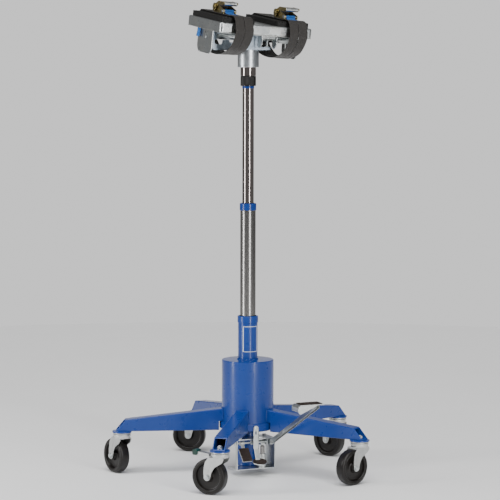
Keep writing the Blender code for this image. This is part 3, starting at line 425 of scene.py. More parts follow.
def enamel():
    """Glossy blue enamel: slight orange peel, cloudy tone and fine dust."""
    n = Nodes("blue_enamel_paint")
    cloud = n.noise(0.16, 4)
    tone = n.mix(n.span(cloud, 0.3, 0.7), (0.003, 0.031, 0.190), (0.004, 0.038, 0.222))
    dust = n.span(n.noise(0.004, 6, 0.7), 0.66, 0.84, 0.0, 0.03)
    tone = n.mix(dust, tone, (0.06, 0.11, 0.24))
    n.set(tone, n.span(n.noise(0.03, 5), 0.3, 0.75, 0.26, 0.33), Coat_Weight=0.20, Coat_Roughness=0.07,
          Specular_IOR_Level=0.35)
    n.bump(n.noise(0.0035, 2), 0.00003, 0.4)
    return n.material


def zinc(name, light, dark, rough, grain=0.010, metallic=1.0):
    """Zinc plating: broad cloudy patches, cool and warm tints, faint stains."""
    n = Nodes(name)
    cloud = n.span(n.noise(grain * 3, 5, 0.65), 0.30, 0.72)
    tone = n.mix(cloud, dark, light)
    tint = n.span(n.noise(grain * 6, 3), 0.45, 0.75, 0.0, 0.35)
    tone = n.mix(tint, tone, (light[0] * 1.02, light[1] * 0.97, light[2] * 0.84))
    stain = n.span(n.noise(grain * 0.6, 6, 0.75), 0.68, 0.84, 0.0, 0.25)
    tone = n.mix(stain, tone, tuple(v * 0.7 for v in dark))
    n.set(tone, n.span(n.noise(grain, 5, 0.7), 0.3, 0.7, rough * 0.85, rough * 1.2), Metallic=metallic)
    n.bump(n.noise(0.0013, 3), 0.00001, 0.4)
    n.bump(n.noise(0.04, 2), 0.00006, 0.2)
    return n.material


def turned_steel(name, light, dark, rough, streak):
    """Ground or polished round bar: fine rings from the grinding wheel and soft streaks along it."""
    n = Nodes(name)
    rings = n.noise(0.0012, 3, 0.6, (0.02, 0.02, 1.0))
    along = n.noise(0.006, 4, 0.6, (1.0, 1.0, 0.02))
    tone = n.mix(n.span(along, 0.3, 0.7), dark, light)
    tone = n.mix(n.span(rings, 0.35, 0.70, 0.0, streak), tone, tuple(v * 0.72 for v in dark))
    n.set(tone, n.span(rings, 0.3, 0.7, rough * 0.9, rough * 1.12), Metallic=1.0)
    n.bump(rings, 0.000006, 0.25)
    return n.material


def moulded(name, light, dark, rough, grain, depth, scuff=0.25, scuff_tone=(0.09, 0.085, 0.078), **constants):
    """Moulded plastic or rubber: grain, cloudy tone, grey scuffs."""
    n = Nodes(name)
    tone = n.mix(n.span(n.noise(grain * 14, 4), 0.3, 0.7), dark, light)
    scuffs = n.span(n.noise(grain * 6, 7, 0.72), 0.58, 0.80, 0.0, scuff)
    tone = n.mix(scuffs, tone, scuff_tone)
    n.set(tone, n.span(n.noise(grain * 5, 5), 0.3, 0.75, rough * 0.85, rough * 1.2), **constants)
    n.bump(n.noise(grain, 3, 0.6), depth, 0.6)
    return n.material


def webbing(name, light, dark, edge_tone):
    """Woven strap: two yarn directions with painted shade between them, fine lighter stripes along it, slight
    wear and sheen.
    """
    n = Nodes(name)
    coordinates = n.add("ShaderNodeTexCoord").outputs["UV"]
    parts = n.add("ShaderNodeSeparateXYZ")
    n.link(coordinates, parts.inputs[0])
    across, along = parts.outputs[0], parts.outputs[1]
    yarn = TURN / (1.7 * MM)
    warp = n.math("SINE", n.math("MULTIPLY", across, yarn))
    step = n.math("SIGN", warp)
    shifted = n.math("ADD", n.math("MULTIPLY", along, TURN / (2.2 * MM)), n.math("MULTIPLY", step, 1.57))
    weft = n.math("SINE", shifted)
    height = n.math("ADD", n.math("ABSOLUTE", warp), n.math("MULTIPLY", weft, 0.6))
    # painted shade: the weave's low parts between the yarns are darker than its crests
    tone = n.mix(n.span(height, -0.4, 1.4), dark, light)
    stripe = n.math("SINE", n.math("MULTIPLY", across, TURN / (5.6 * MM)))
    tone = n.mix(n.span(stripe, 0.75, 1.0, 0.0, 0.5), tone, edge_tone)
    worn = n.span(n.noise(0.02, 5, 0.7), 0.5, 0.8, 0.0, 0.25)
    tone = n.mix(worn, tone, edge_tone)
    n.set(tone, n.span(height, -0.4, 1.4, 0.70, 0.50), Sheen_Weight=0.04, Sheen_Roughness=0.5)
    n.bump(height, 0.00020, 0.5)
    return n.material


def cast_paint():
    """Silver-blue hammered paint on a rough casting."""
    n = Nodes("cast_silver_paint")
    tone = n.mix(n.span(n.noise(0.05, 4), 0.3, 0.7), (0.36, 0.44, 0.53), (0.52, 0.59, 0.66))
    pits = n.span(n.noise(0.003, 5, 0.7), 0.60, 0.78, 0.0, 0.5)
    tone = n.mix(pits, tone, (0.20, 0.25, 0.31))
    n.set(tone, n.span(n.noise(0.006, 5), 0.3, 0.7, 0.34, 0.52), Metallic=0.55)
    n.bump(n.noise(0.0022, 4, 0.65), 0.0003, 0.45)
    return n.material


def pale(name, tone, rough):
    n = Nodes(name)
    n.set(n.mix(n.span(n.noise(0.4, 3), 0.3, 0.7), tone, tuple(v * 0.985 for v in tone)), rough)
    n.bump(n.noise(0.01, 2), 0.0001, 0.1)
    return n.material


FINISHES = {
    "blue": (enamel(), "blue_enamel"),
    "zinc": (zinc("bright_zinc", (0.62, 0.64, 0.64), (0.50, 0.53, 0.535), 0.30), "zinc_plate"),
    "pressed": (zinc("pressed_zinc", (0.62, 0.63, 0.62), (0.50, 0.51, 0.505), 0.38, 0.014), "zinc_plate"),
    "steel": (turned_steel("ground_steel_tube", (0.33, 0.32, 0.31), (0.24, 0.235, 0.23), 0.24, 0.15),
              "ground_steel"),
    "chrome": (turned_steel("hard_chrome_rod", (0.44, 0.39, 0.375), (0.34, 0.30, 0.29), 0.09, 0.08),
               "hard_chrome"),
    "cast": (cast_paint(), "cast_silver"),
    "boss": (zinc("silver_boss", (0.62, 0.65, 0.68), (0.50, 0.53, 0.56), 0.34, 0.02), "cast_silver"),
    "nut": (moulded("blackened_steel", (0.016, 0.015, 0.015), (0.008, 0.0075, 0.0075), 0.38, 0.0012, 0.00003,
                    Metallic=0.5), "black_steel"),
    "wheel": (moulded("black_polyamide_wheel", (0.0085, 0.0065, 0.0055), (0.0045, 0.0036, 0.0030), 0.36,
                      0.0011, 0.00003, 0.16, (0.030, 0.025, 0.021), Specular_IOR_Level=0.35),
              "black_polyamide"),
    "rubber": (moulded("ribbed_rubber", (0.0080, 0.0075, 0.0070), (0.0040, 0.0040, 0.0040), 0.60, 0.0009,
                       0.00004, 0.12, (0.03, 0.028, 0.026), Specular_IOR_Level=0.3), "black_rubber"),
    "mat": (moulded("pedal_mat", (0.030, 0.018, 0.014), (0.014, 0.009, 0.0075), 0.70, 0.0012, 0.00006, 0.12,
                    (0.05, 0.04, 0.035), Specular_IOR_Level=0.3), "black_rubber"),
    "strap": (webbing("dark_strap_webbing", (0.020, 0.0165, 0.0140), (0.0065, 0.0053, 0.0046),
                      (0.032, 0.027, 0.023)), "dark_webbing"),
    "blue_strap": (webbing("blue_strap_webbing", (0.008, 0.130, 0.460), (0.003, 0.055, 0.230),
                           (0.02, 0.19, 0.52)), "dark_webbing"),
    "brass": (zinc("yellow_chromate", (0.50, 0.41, 0.19), (0.27, 0.22, 0.09), 0.30, 0.006), "yellow_zinc"),
    "green": (moulded("green_grip", (0.003, 0.045, 0.030), (0.0015, 0.022, 0.015), 0.36, 0.001, 0.00004, 0.1),
              "black_rubber"),
    "label_frame": (pale("label_frame_line", (0.60, 0.64, 0.68), 0.4), "blue_enamel"),
}


# ---- base: drum, band, legs ----
def build_drum():
    low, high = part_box("reservoir_drum")
    band_low, band_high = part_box("hub_band")
    radius = high.x
    bore = top_radius("cylinder_barrel") + GAP
    drum = turned([
        (bore, low.z), (radius - 0.002, low.z), (radius, low.z + 0.002), (radius, high.z - 0.0035),
        (radius - 0.0006, high.z - 0.0012), (radius - 0.0025, high.z), (bore, high.z), (bore, high.z - 0.004),
        (radius - 0.004, high.z - 0.004), (radius - 0.004, low.z + 0.004), (bore, low.z + 0.004),
    ], 160, hollow=True)
    piece("drum_shell", drum, "blue", "base", stands_for=["reservoir_drum"])
    band = tube(band_high.x, radius + GAP, band_low.z, band_high.z, 160, 0.0012)
    piece("hub_band_ring", band, "blue", "base", stands_for=["hub_band"])
    piece("drum_foot_bead", bead_ring(radius + 0.0005, band_high.z + 0.001, 0.0018), "blue", "base")
    piece("barrel_weld_bead", bead_ring(bore + 0.0005, high.z + 0.0006, 0.0022), "blue", "base")


def skinned(bm, rings, closed=True):
    """Faces between neighbouring rings of one size; an open run of rings is capped."""
    for here, there in zip(rings, rings[1:] + rings[:1] if closed else rings[1:]):
        for j in range(len(here)):
            i = (j + 1) % len(here)
            bm.faces.new([here[j], here[i], there[i], there[j]])
    if not closed:
        bm.faces.new(rings[0])
        bm.faces.new(rings[-1])
    return finished(bm)


def bead_ring(radius, height, size, ripples=90, sides=360):
    """Rippled weld bead round a cylinder."""
    bm = bmesh.new()
    rings = []
    for k in range(sides):
        a = TURN * k / sides
        swell = size * (1 + 0.14 * math.sin(ripples * a) + 0.06 * math.sin(7 * a))
        ring = []
        for j in range(8):
            b = TURN * j / 8
            r = radius + swell * math.cos(b)
            ring.append(bm.verts.new((r * math.cos(a), r * math.sin(a), height + swell * math.sin(b))))
        rings.append(ring)
    return skinned(bm, rings)


def top_radius(node):
    """Radius of a round CAD node at its top end."""
    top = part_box(node)[1].z
    return max(v.co.xy.length for v in frame["nodes"][node].data.vertices if v.co.z > top - 0.01)


def bead_path(points, size, phase):
    """Rippled weld bead along 3-D points."""
    bm = bmesh.new()
    rings = []
    fine = []
    for a, b in zip(points, points[1:]):
        steps = max(2, int((b - a).length / 0.0012))
        fine += [a.lerp(b, k / steps) for k in range(steps)]
    fine.append(points[-1])
    for k, point in enumerate(fine):
        along = (fine[min(k + 1, len(fine) - 1)] - fine[max(k - 1, 0)]).normalized()
        side = along.orthogonal().normalized()
        other = along.cross(side)
        swell = size * (1 + 0.16 * math.sin(k * 1.7 + phase)) * (0.6 if k in (0, len(fine) - 1) else 1)
        spokes = [side * math.cos(TURN * j / 6) + other * math.sin(TURN * j / 6) for j in range(6)]
        rings.append([bm.verts.new(point + spoke * swell) for spoke in spokes])
    return skinned(bm, rings, closed=False)


def build_legs():
    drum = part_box("reservoir_drum")[1].x
    band_top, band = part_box("hub_band")[1].z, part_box("hub_band")[1].x
    for k in range(1, 6):
        at = Vector(JOINTS[f"caster_swivel_{k}"]["pos_m"])
        out = Vector((at.x, at.y, 0))
        leg = axes(x=out, z=(0, 0, 1))
        low, high = local_box(f"leg_{k}", leg)
        ring = out.length
        corners = [leg.inverted() @ v.co for v in frame["nodes"][f"leg_{k}"].data.vertices]
        lug = max(corner.y for corner in corners if corner.z < low.z + 0.001)
        bottom = min(corner.z for corner in corners if corner.x < ring - lug - 0.01)
        half, wall, end_height, slope = 0.025, 0.004, 0.045, 0.039
        hub = drum * 0.8
        outer = ring + half
        # the solid's top is cut by the drum, so its rise is taken from its shoulder and highest point
        rise = (high.z - bottom - end_height) / (outer - slope - max(low.x, 0.05))
        top_hub = bottom + end_height + rise * (outer - slope - hub)
        side = [(hub, bottom), (outer, bottom), (outer - slope, bottom + end_height), (hub, top_hub)]
        body = shape([prism(side, -half, half, "XZ")], ease=0.0035, steps=4)
        start, stop = hub - 0.02, outer + 0.02
        hollow_side = [
            (start, bottom + wall), (stop, bottom + wall),
            (stop, top_hub - wall - rise * (stop - hub)), (start, top_hub - wall + rise * 0.02),
        ]
        hollow = shape([prism(hollow_side, wall - half, half - wall, "XZ")], ease=0.0018, steps=3)
        notch = drum + (band - drum) * 1.8
        hub_cut = turned([
            (0, bottom - 0.02), (notch, bottom - 0.02), (notch, band_top + 0.003),
            (drum + GAP, band_top + 0.003), (drum + GAP, high.z + 0.1), (0, high.z + 0.1),
        ], 160)
        bolt_cut = moved(disc(KING_BORE, bottom - 0.02, bottom + wall + 0.002, 32), x=ring)
        made = shape([body], cuts=[hollow, hub_cut, bolt_cut])
        piece(f"leg_tube_{k}", made, "blue", "base", leg, [f"leg_{k}"], sharp=32)
        lug_plate = shape([moved(disc(lug, low.z, bottom - 0.0002, 64, 0.0012), x=ring)],
                          cuts=[moved(disc(KING_BORE, low.z - 0.01, bottom + 0.01, 32), x=ring)])
        piece(f"leg_lug_{k}", lug_plate, "blue", "base", leg)
        edge = drum + 0.0012
        corner = math.sqrt(edge**2 - half**2)
        foot, shoulder, beside = band_top + 0.004, high.z - 0.004, half + 0.001
        line = [Vector((corner, -beside, foot)), Vector((corner, -beside, shoulder))]
        for y in (half * t / 6 for t in range(-6, 7)):
            line.append(Vector((math.sqrt(edge**2 - y**2), y, high.z + 0.0002)))
        line += [Vector((corner, beside, shoulder)), Vector((corner, beside, foot))]
        piece(f"leg_weld_{k}", bead_path(line, 0.0016, k), "blue", "base", leg)
        for side_sign in (-1, 1):
            y = side_sign * (half + 0.0008)
            seam = [Vector((x, y, bottom + 0.0002)) for x in (ring - lug * 0.72, ring + 0.020)]
            name = f"lug_weld_{k}_{'left' if side_sign < 0 else 'right'}"
            piece(name, bead_path(seam, 0.0013, k), "blue", "base", leg)


# ---- casters ----
def wheel_mesh(radius, half, bore):
    face = [
        (bore, half - 0.0012), (0.0150, half - 0.0012), (0.0166, half - 0.0022), (0.0182, half - 0.0090),
        (0.0205, half - 0.0118), (0.0250, half - 0.0124), (radius - 0.0235, half - 0.0124),
        (radius - 0.0200, half - 0.0110), (radius - 0.0177, half - 0.0030), (radius - 0.0163, half - 0.0010),
        (radius - 0.0145, half - 0.0002), (radius - 0.0120, half), (radius - 0.0113, half - 0.0007),
        (radius - 0.0105, half - 0.0007), (radius - 0.0098, half), (radius - 0.0065, half - 0.0001),
        (radius - 0.0030, half - 0.0016), (radius - 0.0012, half - 0.0042), (radius - 0.0003, half - 0.0085),
        (radius, half - 0.0130),
    ]
    profile = face + [(r, -z) for r, z in reversed(face)]
    mesh = turned(profile, 96, hollow=True)
    mesh.transform(Matrix.Rotation(math.pi / 2, 4, "X"))
    return mesh


def fork_mesh(low, high, trail, axle_z, inside, sheet, cup):
    """Pressed fork with a waisted cheek, a raised rib down each cheek and the bearing cup."""
    outside = inside + sheet
    axle = (trail, axle_z)
    back, front = -0.026, 0.036
    cheek = [(back, low + sheet), (back - 0.001, low - 0.004)]
    cheek += [(back + 0.006, low - 0.016), (0.010, low - 0.034), (0.0215, axle_z + 0.020)]
    cheek += arc(axle, 0.0135, 195, 372, 16)
    cheek += [(trail + 0.0145, axle_z + 0.022), (front + 0.0165, low - 0.028), (front + 0.012, low - 0.014)]
    cheek += [(front + 0.004, low - 0.004), (front, low + sheet)]
    rib = [(trail - 0.022, low - 0.012), (trail - 0.004, axle_z + 0.018), (trail + 0.004, axle_z + 0.018),
           (trail - 0.006, low - 0.012)]
    adds = [shape([box(back, front, -outside, outside, low, low + sheet)])]
    for sign in (1, -1):
        faces = sorted((sign * inside, sign * outside))
        adds.append(prism(cheek, *faces, "XZ"))
        faces = sorted((sign * (outside - 0.001), sign * (outside + 0.0009)))
        adds.append(prism(rib, *faces, "XZ"))
    adds.append(turned([
        (0, low + sheet / 2), (cup - 0.004, low + sheet / 2), (cup - 0.001, low + 0.007), (cup, low + 0.010),
        (cup, high - 0.0012), (cup - 0.0012, high), (0, high),
    ], 72))
    bolt_cut = disc(KING_BORE, low - 0.01, high + 0.01, 32)
    axle_cut = rod((trail, -0.05, axle_z), (trail, 0.05, axle_z), 0.0063, 24)
    return shape(adds, cuts=[bolt_cut, axle_cut], ease=0.0008, steps=2)


def build_casters():
    for k in range(1, 6):
        swivel = JOINTS[f"caster_swivel_{k}"]["pos_m"]
        across = Vector(JOINTS[f"wheel_spin_{k}"]["axis"])
        hub = Vector(JOINTS[f"wheel_spin_{k}"]["pos_m"])
        caster = axes(y=across, z=(0, 0, 1), at=(swivel[0], swivel[1], 0))
        trail = (caster.inverted() @ hub).x
        wheel_low, wheel_high = local_box(f"caster_wheel_{k}", caster)
        radius, half = (wheel_high.z - wheel_low.z) / 2, wheel_high.y
        _, fork_high = local_box(f"caster_fork_{k}", caster)
        stem_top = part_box(f"caster_stem_{k}")[1].z
        lug_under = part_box(f"leg_{k}")[0].z
        wheel_frame = axes(y=across, z=(0, 0, 1), at=hub)
        wheel = wheel_mesh(radius, half, 0.0063)
        piece(f"wheel_disc_{k}", wheel, "wheel", f"wheel_{k}", wheel_frame, [f"caster_wheel_{k}"], sharp=45)
        crown = 2 * radius + 0.0045
        fork = fork_mesh(crown, fork_high.z, trail, hub.z, half + 0.003, 0.003, 0.034)
        piece(f"fork_yoke_{k}", fork, "pressed", f"fork_{k}", caster, [f"caster_fork_{k}"])
        shank = half + 0.0063
        parts = [rod((0, -shank - 0.003, 0), (0, shank + 0.006, 0), 0.0058, 24, 0.0008)]
        for sign in (-1, 1):
            washer = rod((0, sign * shank, 0), (0, sign * (shank + 0.0012), 0), 0.0112, 32, 0.0002)
            head = aimed(hexagon(0.0095, 0, 0.0046), (0, sign * (shank + 0.0011), 0), (0, sign * 1.0, 0))
            parts += [washer, head]
        piece(f"axle_bolt_{k}", shape(parts), "zinc", f"fork_{k}", wheel_frame, [f"caster_axle_{k}"])
        race = turned([
            (0.0061, lug_under - 0.0053), (0.031, lug_under - 0.0053), (0.0345, lug_under - 0.0045),
            (0.0352, lug_under - 0.0030), (0.0352, lug_under - 0.0012), (0.0345, lug_under - GAP),
            (0.0061, lug_under - GAP),
        ], 72, hollow=True)
        piece(f"top_race_{k}", race, "pressed", "base", caster, [f"caster_stem_{k}"])
        nut_low = stem_top - 0.013
        bolt = [disc(0.0059, crown - 0.005, stem_top, 32, 0.0008)]
        bolt.append(hexagon(0.0105, nut_low + 0.0016, nut_low + 0.0105))
        bolt.append(disc(0.0122, nut_low, nut_low + 0.0018, 32, 0.0003))
        bolt.append(disc(0.0100, crown - 0.0043, crown - 0.0003, 32, 0.0012))
        piece(f"king_bolt_{k}", shape(bolt), "zinc", "base", caster)
    brake = JOINTS["caster_brake"]
    across = Vector(brake["axis"])
    at = axes(y=across, z=(0, 0, 1), at=brake["pos_m"])
    low, high = local_box("caster_brake_pedal", at)
    arm = [
        (-0.004, low.z + 0.0125), (-0.005, low.z + 0.007), (0.010, low.z + 0.003), (0.041, low.z + 0.0005),
        (0.060, low.z + 0.004), (0.064, low.z + 0.016), (0.050, low.z + 0.0185), (0.020, low.z + 0.0150),
    ]
    lever = shape([prism(arm, -0.012, 0.012, "XZ"), rod((0, -0.018, 0), (0, 0.018, 0), 0.005, 24)],
                  ease=0.0022, steps=3)
    piece("brake_arm", lever, "pressed", "brake", at, ["caster_brake_pedal"])
    grip = shape([prism(rounded(0.046, high.x, low.z + 0.004, high.z, 0.007), -0.0165, 0.0165, "XZ")],
                 ease=0.003, steps=3)
    piece("brake_grip", grip, "green", "brake", at)


# ---- lifting column ----
def build_gland(name, node, body, bore, seat, bevels, seal):
    """Wiper collar; seat is its mouth's radius, taper and depth, and seal is (sides, edge)."""
    low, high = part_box(node)
    lip, taper, depth = seat
    foot, crown = bevels
    collar = turned([
        (bore, low.z), (high.x - foot, low.z), (high.x, low.z + foot), (high.x, high.z - crown),
        (high.x - crown, high.z), (lip, high.z), (lip - taper, high.z - depth), (bore, high.z - depth),
    ], 128, hollow=True)
    piece(f"{name}_gland", collar, "blue", body, stands_for=[node])
    fit = 0.0001
    wiper = tube(lip - taper - fit, bore - fit, high.z - depth + fit, high.z + depth + 2 * fit, *seal)
    piece(f"{name}_wiper_seal", wiper, "rubber", body)


def build_column():
    low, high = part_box("cylinder_barrel")
    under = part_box("reservoir_drum")[0].z - GAP
    radius = top_radius("cylinder_barrel")
    foot = high.x
    barrel = turned([
        (0, low.z), (foot - 0.0015, low.z), (foot, low.z + 0.0015), (foot, under - 0.0008),
        (foot - 0.0008, under), (radius, under), (radius, high.z), (radius - TUBE_WALL, high.z),
        (radius - TUBE_WALL, low.z + 0.012), (0, low.z + 0.012),
    ], 128)
    piece("barrel_tube", barrel, "blue", "base", stands_for=["cylinder_barrel"])
    build_gland("barrel", "barrel_collar", "base", 0.0303, (0.0335, 0.0005, 0.0012), (0.0012, 0.0020),
                (128, 0.0006))

    low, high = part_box("stage2_tube")
    reach = top_radius("stage2_tube")
    piston = high.x
    lift_tube = turned([
        (0, low.z), (piston - 0.0006, low.z), (piston, low.z + 0.0006), (piston, low.z + PISTON_HEIGHT),
        (reach, low.z + PISTON_HEIGHT), (reach, high.z), (reach - TUBE_WALL, high.z),
        (reach - TUBE_WALL, low.z + PISTON_HEIGHT), (0, low.z + PISTON_HEIGHT),
    ], 128)
    piece("stage2_lift_tube", lift_tube, "steel", "stage2", stands_for=["stage2_tube"])
    build_gland("stage2", "stage2_collar", "stage2", 0.0226, (0.0258, 0.0004, 0.0010), (0.0010, 0.0018),
                (96, 0.0005))

    low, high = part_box("stage3_rod")
    reach = top_radius("stage3_rod")
    lift_rod = turned([
        (0, low.z), (high.x - 0.0006, low.z), (high.x, low.z + 0.0006), (high.x, low.z + PISTON_HEIGHT),
        (reach, low.z + PISTON_HEIGHT), (reach, high.z), (0, high.z),
    ], 128)
    piece("lifting_rod", lift_rod, "chrome", "stage3", stands_for=["stage3_rod"])
    for node, name, finish, sides, edge in (
        ("rod_stop_ring", "stop_ring", "blue", 96, 0.001),
        ("head_sleeve", "polished_sleeve", "chrome", 128, 0.0008),
    ):
        low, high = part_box(node)
        ring = tube(high.x, reach + GAP, low.z, high.z, sides, edge)
        piece(name, ring, finish, "stage3", stands_for=[node])
    low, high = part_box("lock_nut")
    knurled = knurl_mesh(high.x, reach + GAP, low.z, high.z)
    piece("knurled_nut", knurled, "nut", "nut", stands_for=["lock_nut"])


def knurl_mesh(outer, inner, low, high, teeth=60):
    """Nut with straight knurling between two plain chamfered rims."""
    sides = teeth * 4
    levels = [(inner, low, 0), (outer - 0.0016, low, 0), (outer - 0.0002, low + 0.0014, 0)]
    levels += [(outer - 0.0002, low + 0.0030, 0), (outer, low + 0.0042, 1), (outer, high - 0.0042, 1)]
    levels += [(outer - 0.0002, high - 0.0030, 0), (outer - 0.0002, high - 0.0014, 0)]
    levels += [(outer - 0.0016, high, 0), (inner, high, 0)]
    bm = bmesh.new()
    rings = []
    for radius, height, cut in levels:
        ring = []
        for k in range(sides):
            a = TURN * k / sides
            dip = cut * 0.0009 * (1, 0.5, 0, 0.5)[k % 4]
            ring.append(bm.verts.new(((radius - dip) * math.cos(a), (radius - dip) * math.sin(a), height)))
        rings.append(ring)
    return skinned(bm, rings)


# ---- head: casting, cradle, tray, pads ----
PIVOT = Vector(JOINTS["tilt_fore"]["pos_m"])
TRAY_FRAME = axes(x=JOINTS["tilt_fore"]["axis"], z=JOINTS["fore_screw_turn"]["axis"], at=PIVOT)
CRADLE_FRAME = axes(y=(0, 1, 0), z=JOINTS["side_screw_turn"]["axis"], at=PIVOT)


def build_casting():
    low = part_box("head_casting")[0]
    radius = 0.041
    top = low.z + 0.067
    boss = turned([
        (0.0226, low.z), (radius - 0.0020, low.z), (radius - 0.0005, low.z + 0.0006),
        (radius, low.z + 0.0022), (radius, top - 0.001), (0, top - 0.001), (0, low.z + 0.0345),
        (0.0226, low.z + 0.0345),
    ], 128)
    piece("swivel_boss", boss, "boss", "head", stands_for=["head_casting"])
    plate_low, plate_high = top - 0.0008, top + 0.010
    plate = prism(rounded(-0.066, 0.081, -0.040, 0.040, 0.010, 8), plate_low, plate_high)
    cheek = [(-0.030, plate_high - 0.001), (0.030, plate_high - 0.001), (0.024, plate_high + 0.012)]
    cheek += arc((0, PIVOT.z), 0.017, 0, 180, 20) + [(-0.024, plate_high + 0.012)]
    cheeks = [prism(cheek, -0.038, -0.028, "XZ"), prism(cheek, 0.028, 0.038, "XZ")]
    front, back = -0.0395, -0.029
    arm = prism([
        (-0.112, plate_low), (-0.050, plate_low), (-0.044, plate_high + 0.004), (-0.060, plate_high + 0.018),
        (-0.112, plate_high + 0.018),
    ], front, back, "XZ")
    left, right, slot = -0.172, -0.098, (-0.160, -0.122)
    foot = top - 0.002
    floor = foot + 0.022
    horn = PIVOT.z + 0.026
    hook = arc((left + 0.022, foot + 0.022), 0.022, 180, 270, 10)
    hook += arc((right - 0.012, foot + 0.012), 0.012, 270, 360, 6)
    hook += arc((right - 0.006, foot + 0.034), 0.006, 0, 90, 5)
    hook += [(slot[1] + 0.002, foot + 0.039)] + arc((slot[1] - 0.008, floor + 0.008), 0.008, 0, -90, 6)
    hook += arc((slot[0] + 0.008, floor + 0.008), 0.008, 270, 180, 6)
    hook += arc((slot[0] - 0.005, horn - 0.006), 0.005, 0, 90, 4) + [(left + 0.001, horn - 0.003)]
    plate_hook = prism(hook, front - 0.006, back + 0.001, "XZ")
    pin_bore = rod((0, -0.05, PIVOT.z), (0, 0.05, PIVOT.z), 0.0073, 24)
    made = shape([plate, *cheeks, arm, plate_hook], cuts=[pin_bore], ease=0.0016, steps=3)
    piece("tilt_casting", made, "cast", "head")
    for x in (-0.052, 0.068):
        for y in (-0.026, 0.026):
            bolt = shape([moved(hexagon(0.0065, plate_high - 0.0005, plate_high + 0.0045), x, y)])
            side = "l" if x < 0 else "r"
            end = "f" if y < 0 else "b"
            piece(f"plate_bolt_{side}{end}", bolt, "zinc", "head")


def build_cradle():
    low, high = local_box("tilt_cradle", CRADLE_FRAME)
    left, right = low.x, high.x
    block = shape([box(-0.030, 0.030, -0.0265, 0.0265, -0.016, 0.016)], ease=0.003, steps=3)
    pin = rod((0, -0.043, 0), (0, 0.043, 0), 0.007, 32, 0.001)
    screw = Vector(JOINTS["side_screw_turn"]["pos_m"])
    at = CRADLE_FRAME.inverted() @ screw
    lug = shape([box(at.x - 0.010, at.x + 0.010, -0.046, 0.004, 0.006, 0.016)], ease=0.002, steps=3)
    collar = rod((at.x - 0.010, 0, 0), (at.x + 0.010, 0, 0), 0.0165, 48, 0.001)
    bore = moved(disc(0.0052, -0.02, 0.03, 24), at.x, at.y)
    made = shape([block, pin, lug, collar], cuts=[bore])
    piece("cradle_block", made, "cast", "cradle", CRADLE_FRAME, ["tilt_cradle"])
    shaft = rod((left, 0, 0), (right, 0, 0), 0.0125, 64, 0.0015)
    piece("cross_shaft", shaft, "zinc", "cradle", CRADLE_FRAME)
    ear_face = right - 0.023
    end_nut = shape([hexagon(0.0195, 0.0026, 0.0140, 0.0012), disc(0.0215, 0.0006, 0.0027, 48, 0.0004)],
                    cuts=[disc(0.0122, -0.01, 0.03, 48)])
    end_nut = aimed(end_nut, (ear_face, 0, 0), (1.0, 0, 0))
    piece("shaft_nut", end_nut, "zinc", "cradle", CRADLE_FRAME)
    split_pin = [rod((right - 0.005, 0, -0.020), (right - 0.005, 0, 0.021), 0.0016, 12, 0.0004)]
    split_pin.append(rod((right - 0.005, -0.0035, 0.020), (right - 0.005, 0.0035, 0.020), 0.0030, 16, 0.0006))
    piece("shaft_split_pin", shape(split_pin), "zinc", "cradle", CRADLE_FRAME)
    for label, body, matrix, joint, node in (
        ("side", "side_screw", CRADLE_FRAME, "side_screw_turn", "tilt_screw_side"),
        ("fore", "fore_screw", TRAY_FRAME, "fore_screw_turn", "tilt_screw_fore"),
    ):
        spot = matrix.inverted() @ Vector(JOINTS[joint]["pos_m"])
        low, high = local_box(node, matrix)
        head = 0.0165 if label == "side" else 0.0225
        made = shape([thread_mesh(0.005, low.z, high.z), hexagon(0.010, head, head + 0.007)])
        piece(f"{label}_tilt_screw", moved(made, spot.x, spot.y), "zinc", body, matrix, [node])


def thread_mesh(radius, low, high, pitch=0.0015):
    """Round bar with the ridges of a thread along it."""
    profile = [(0, low), (radius - 0.0008, low)]
    count = int((high - low) / pitch) - 1
    for k in range(count):
        z = low + 0.0005 + k * pitch
        profile += [(radius - 0.0007, z), (radius, z + pitch / 2)]
    profile += [(radius - 0.0008, high - 0.0002), (0, high)]
    return turned(profile, 24)


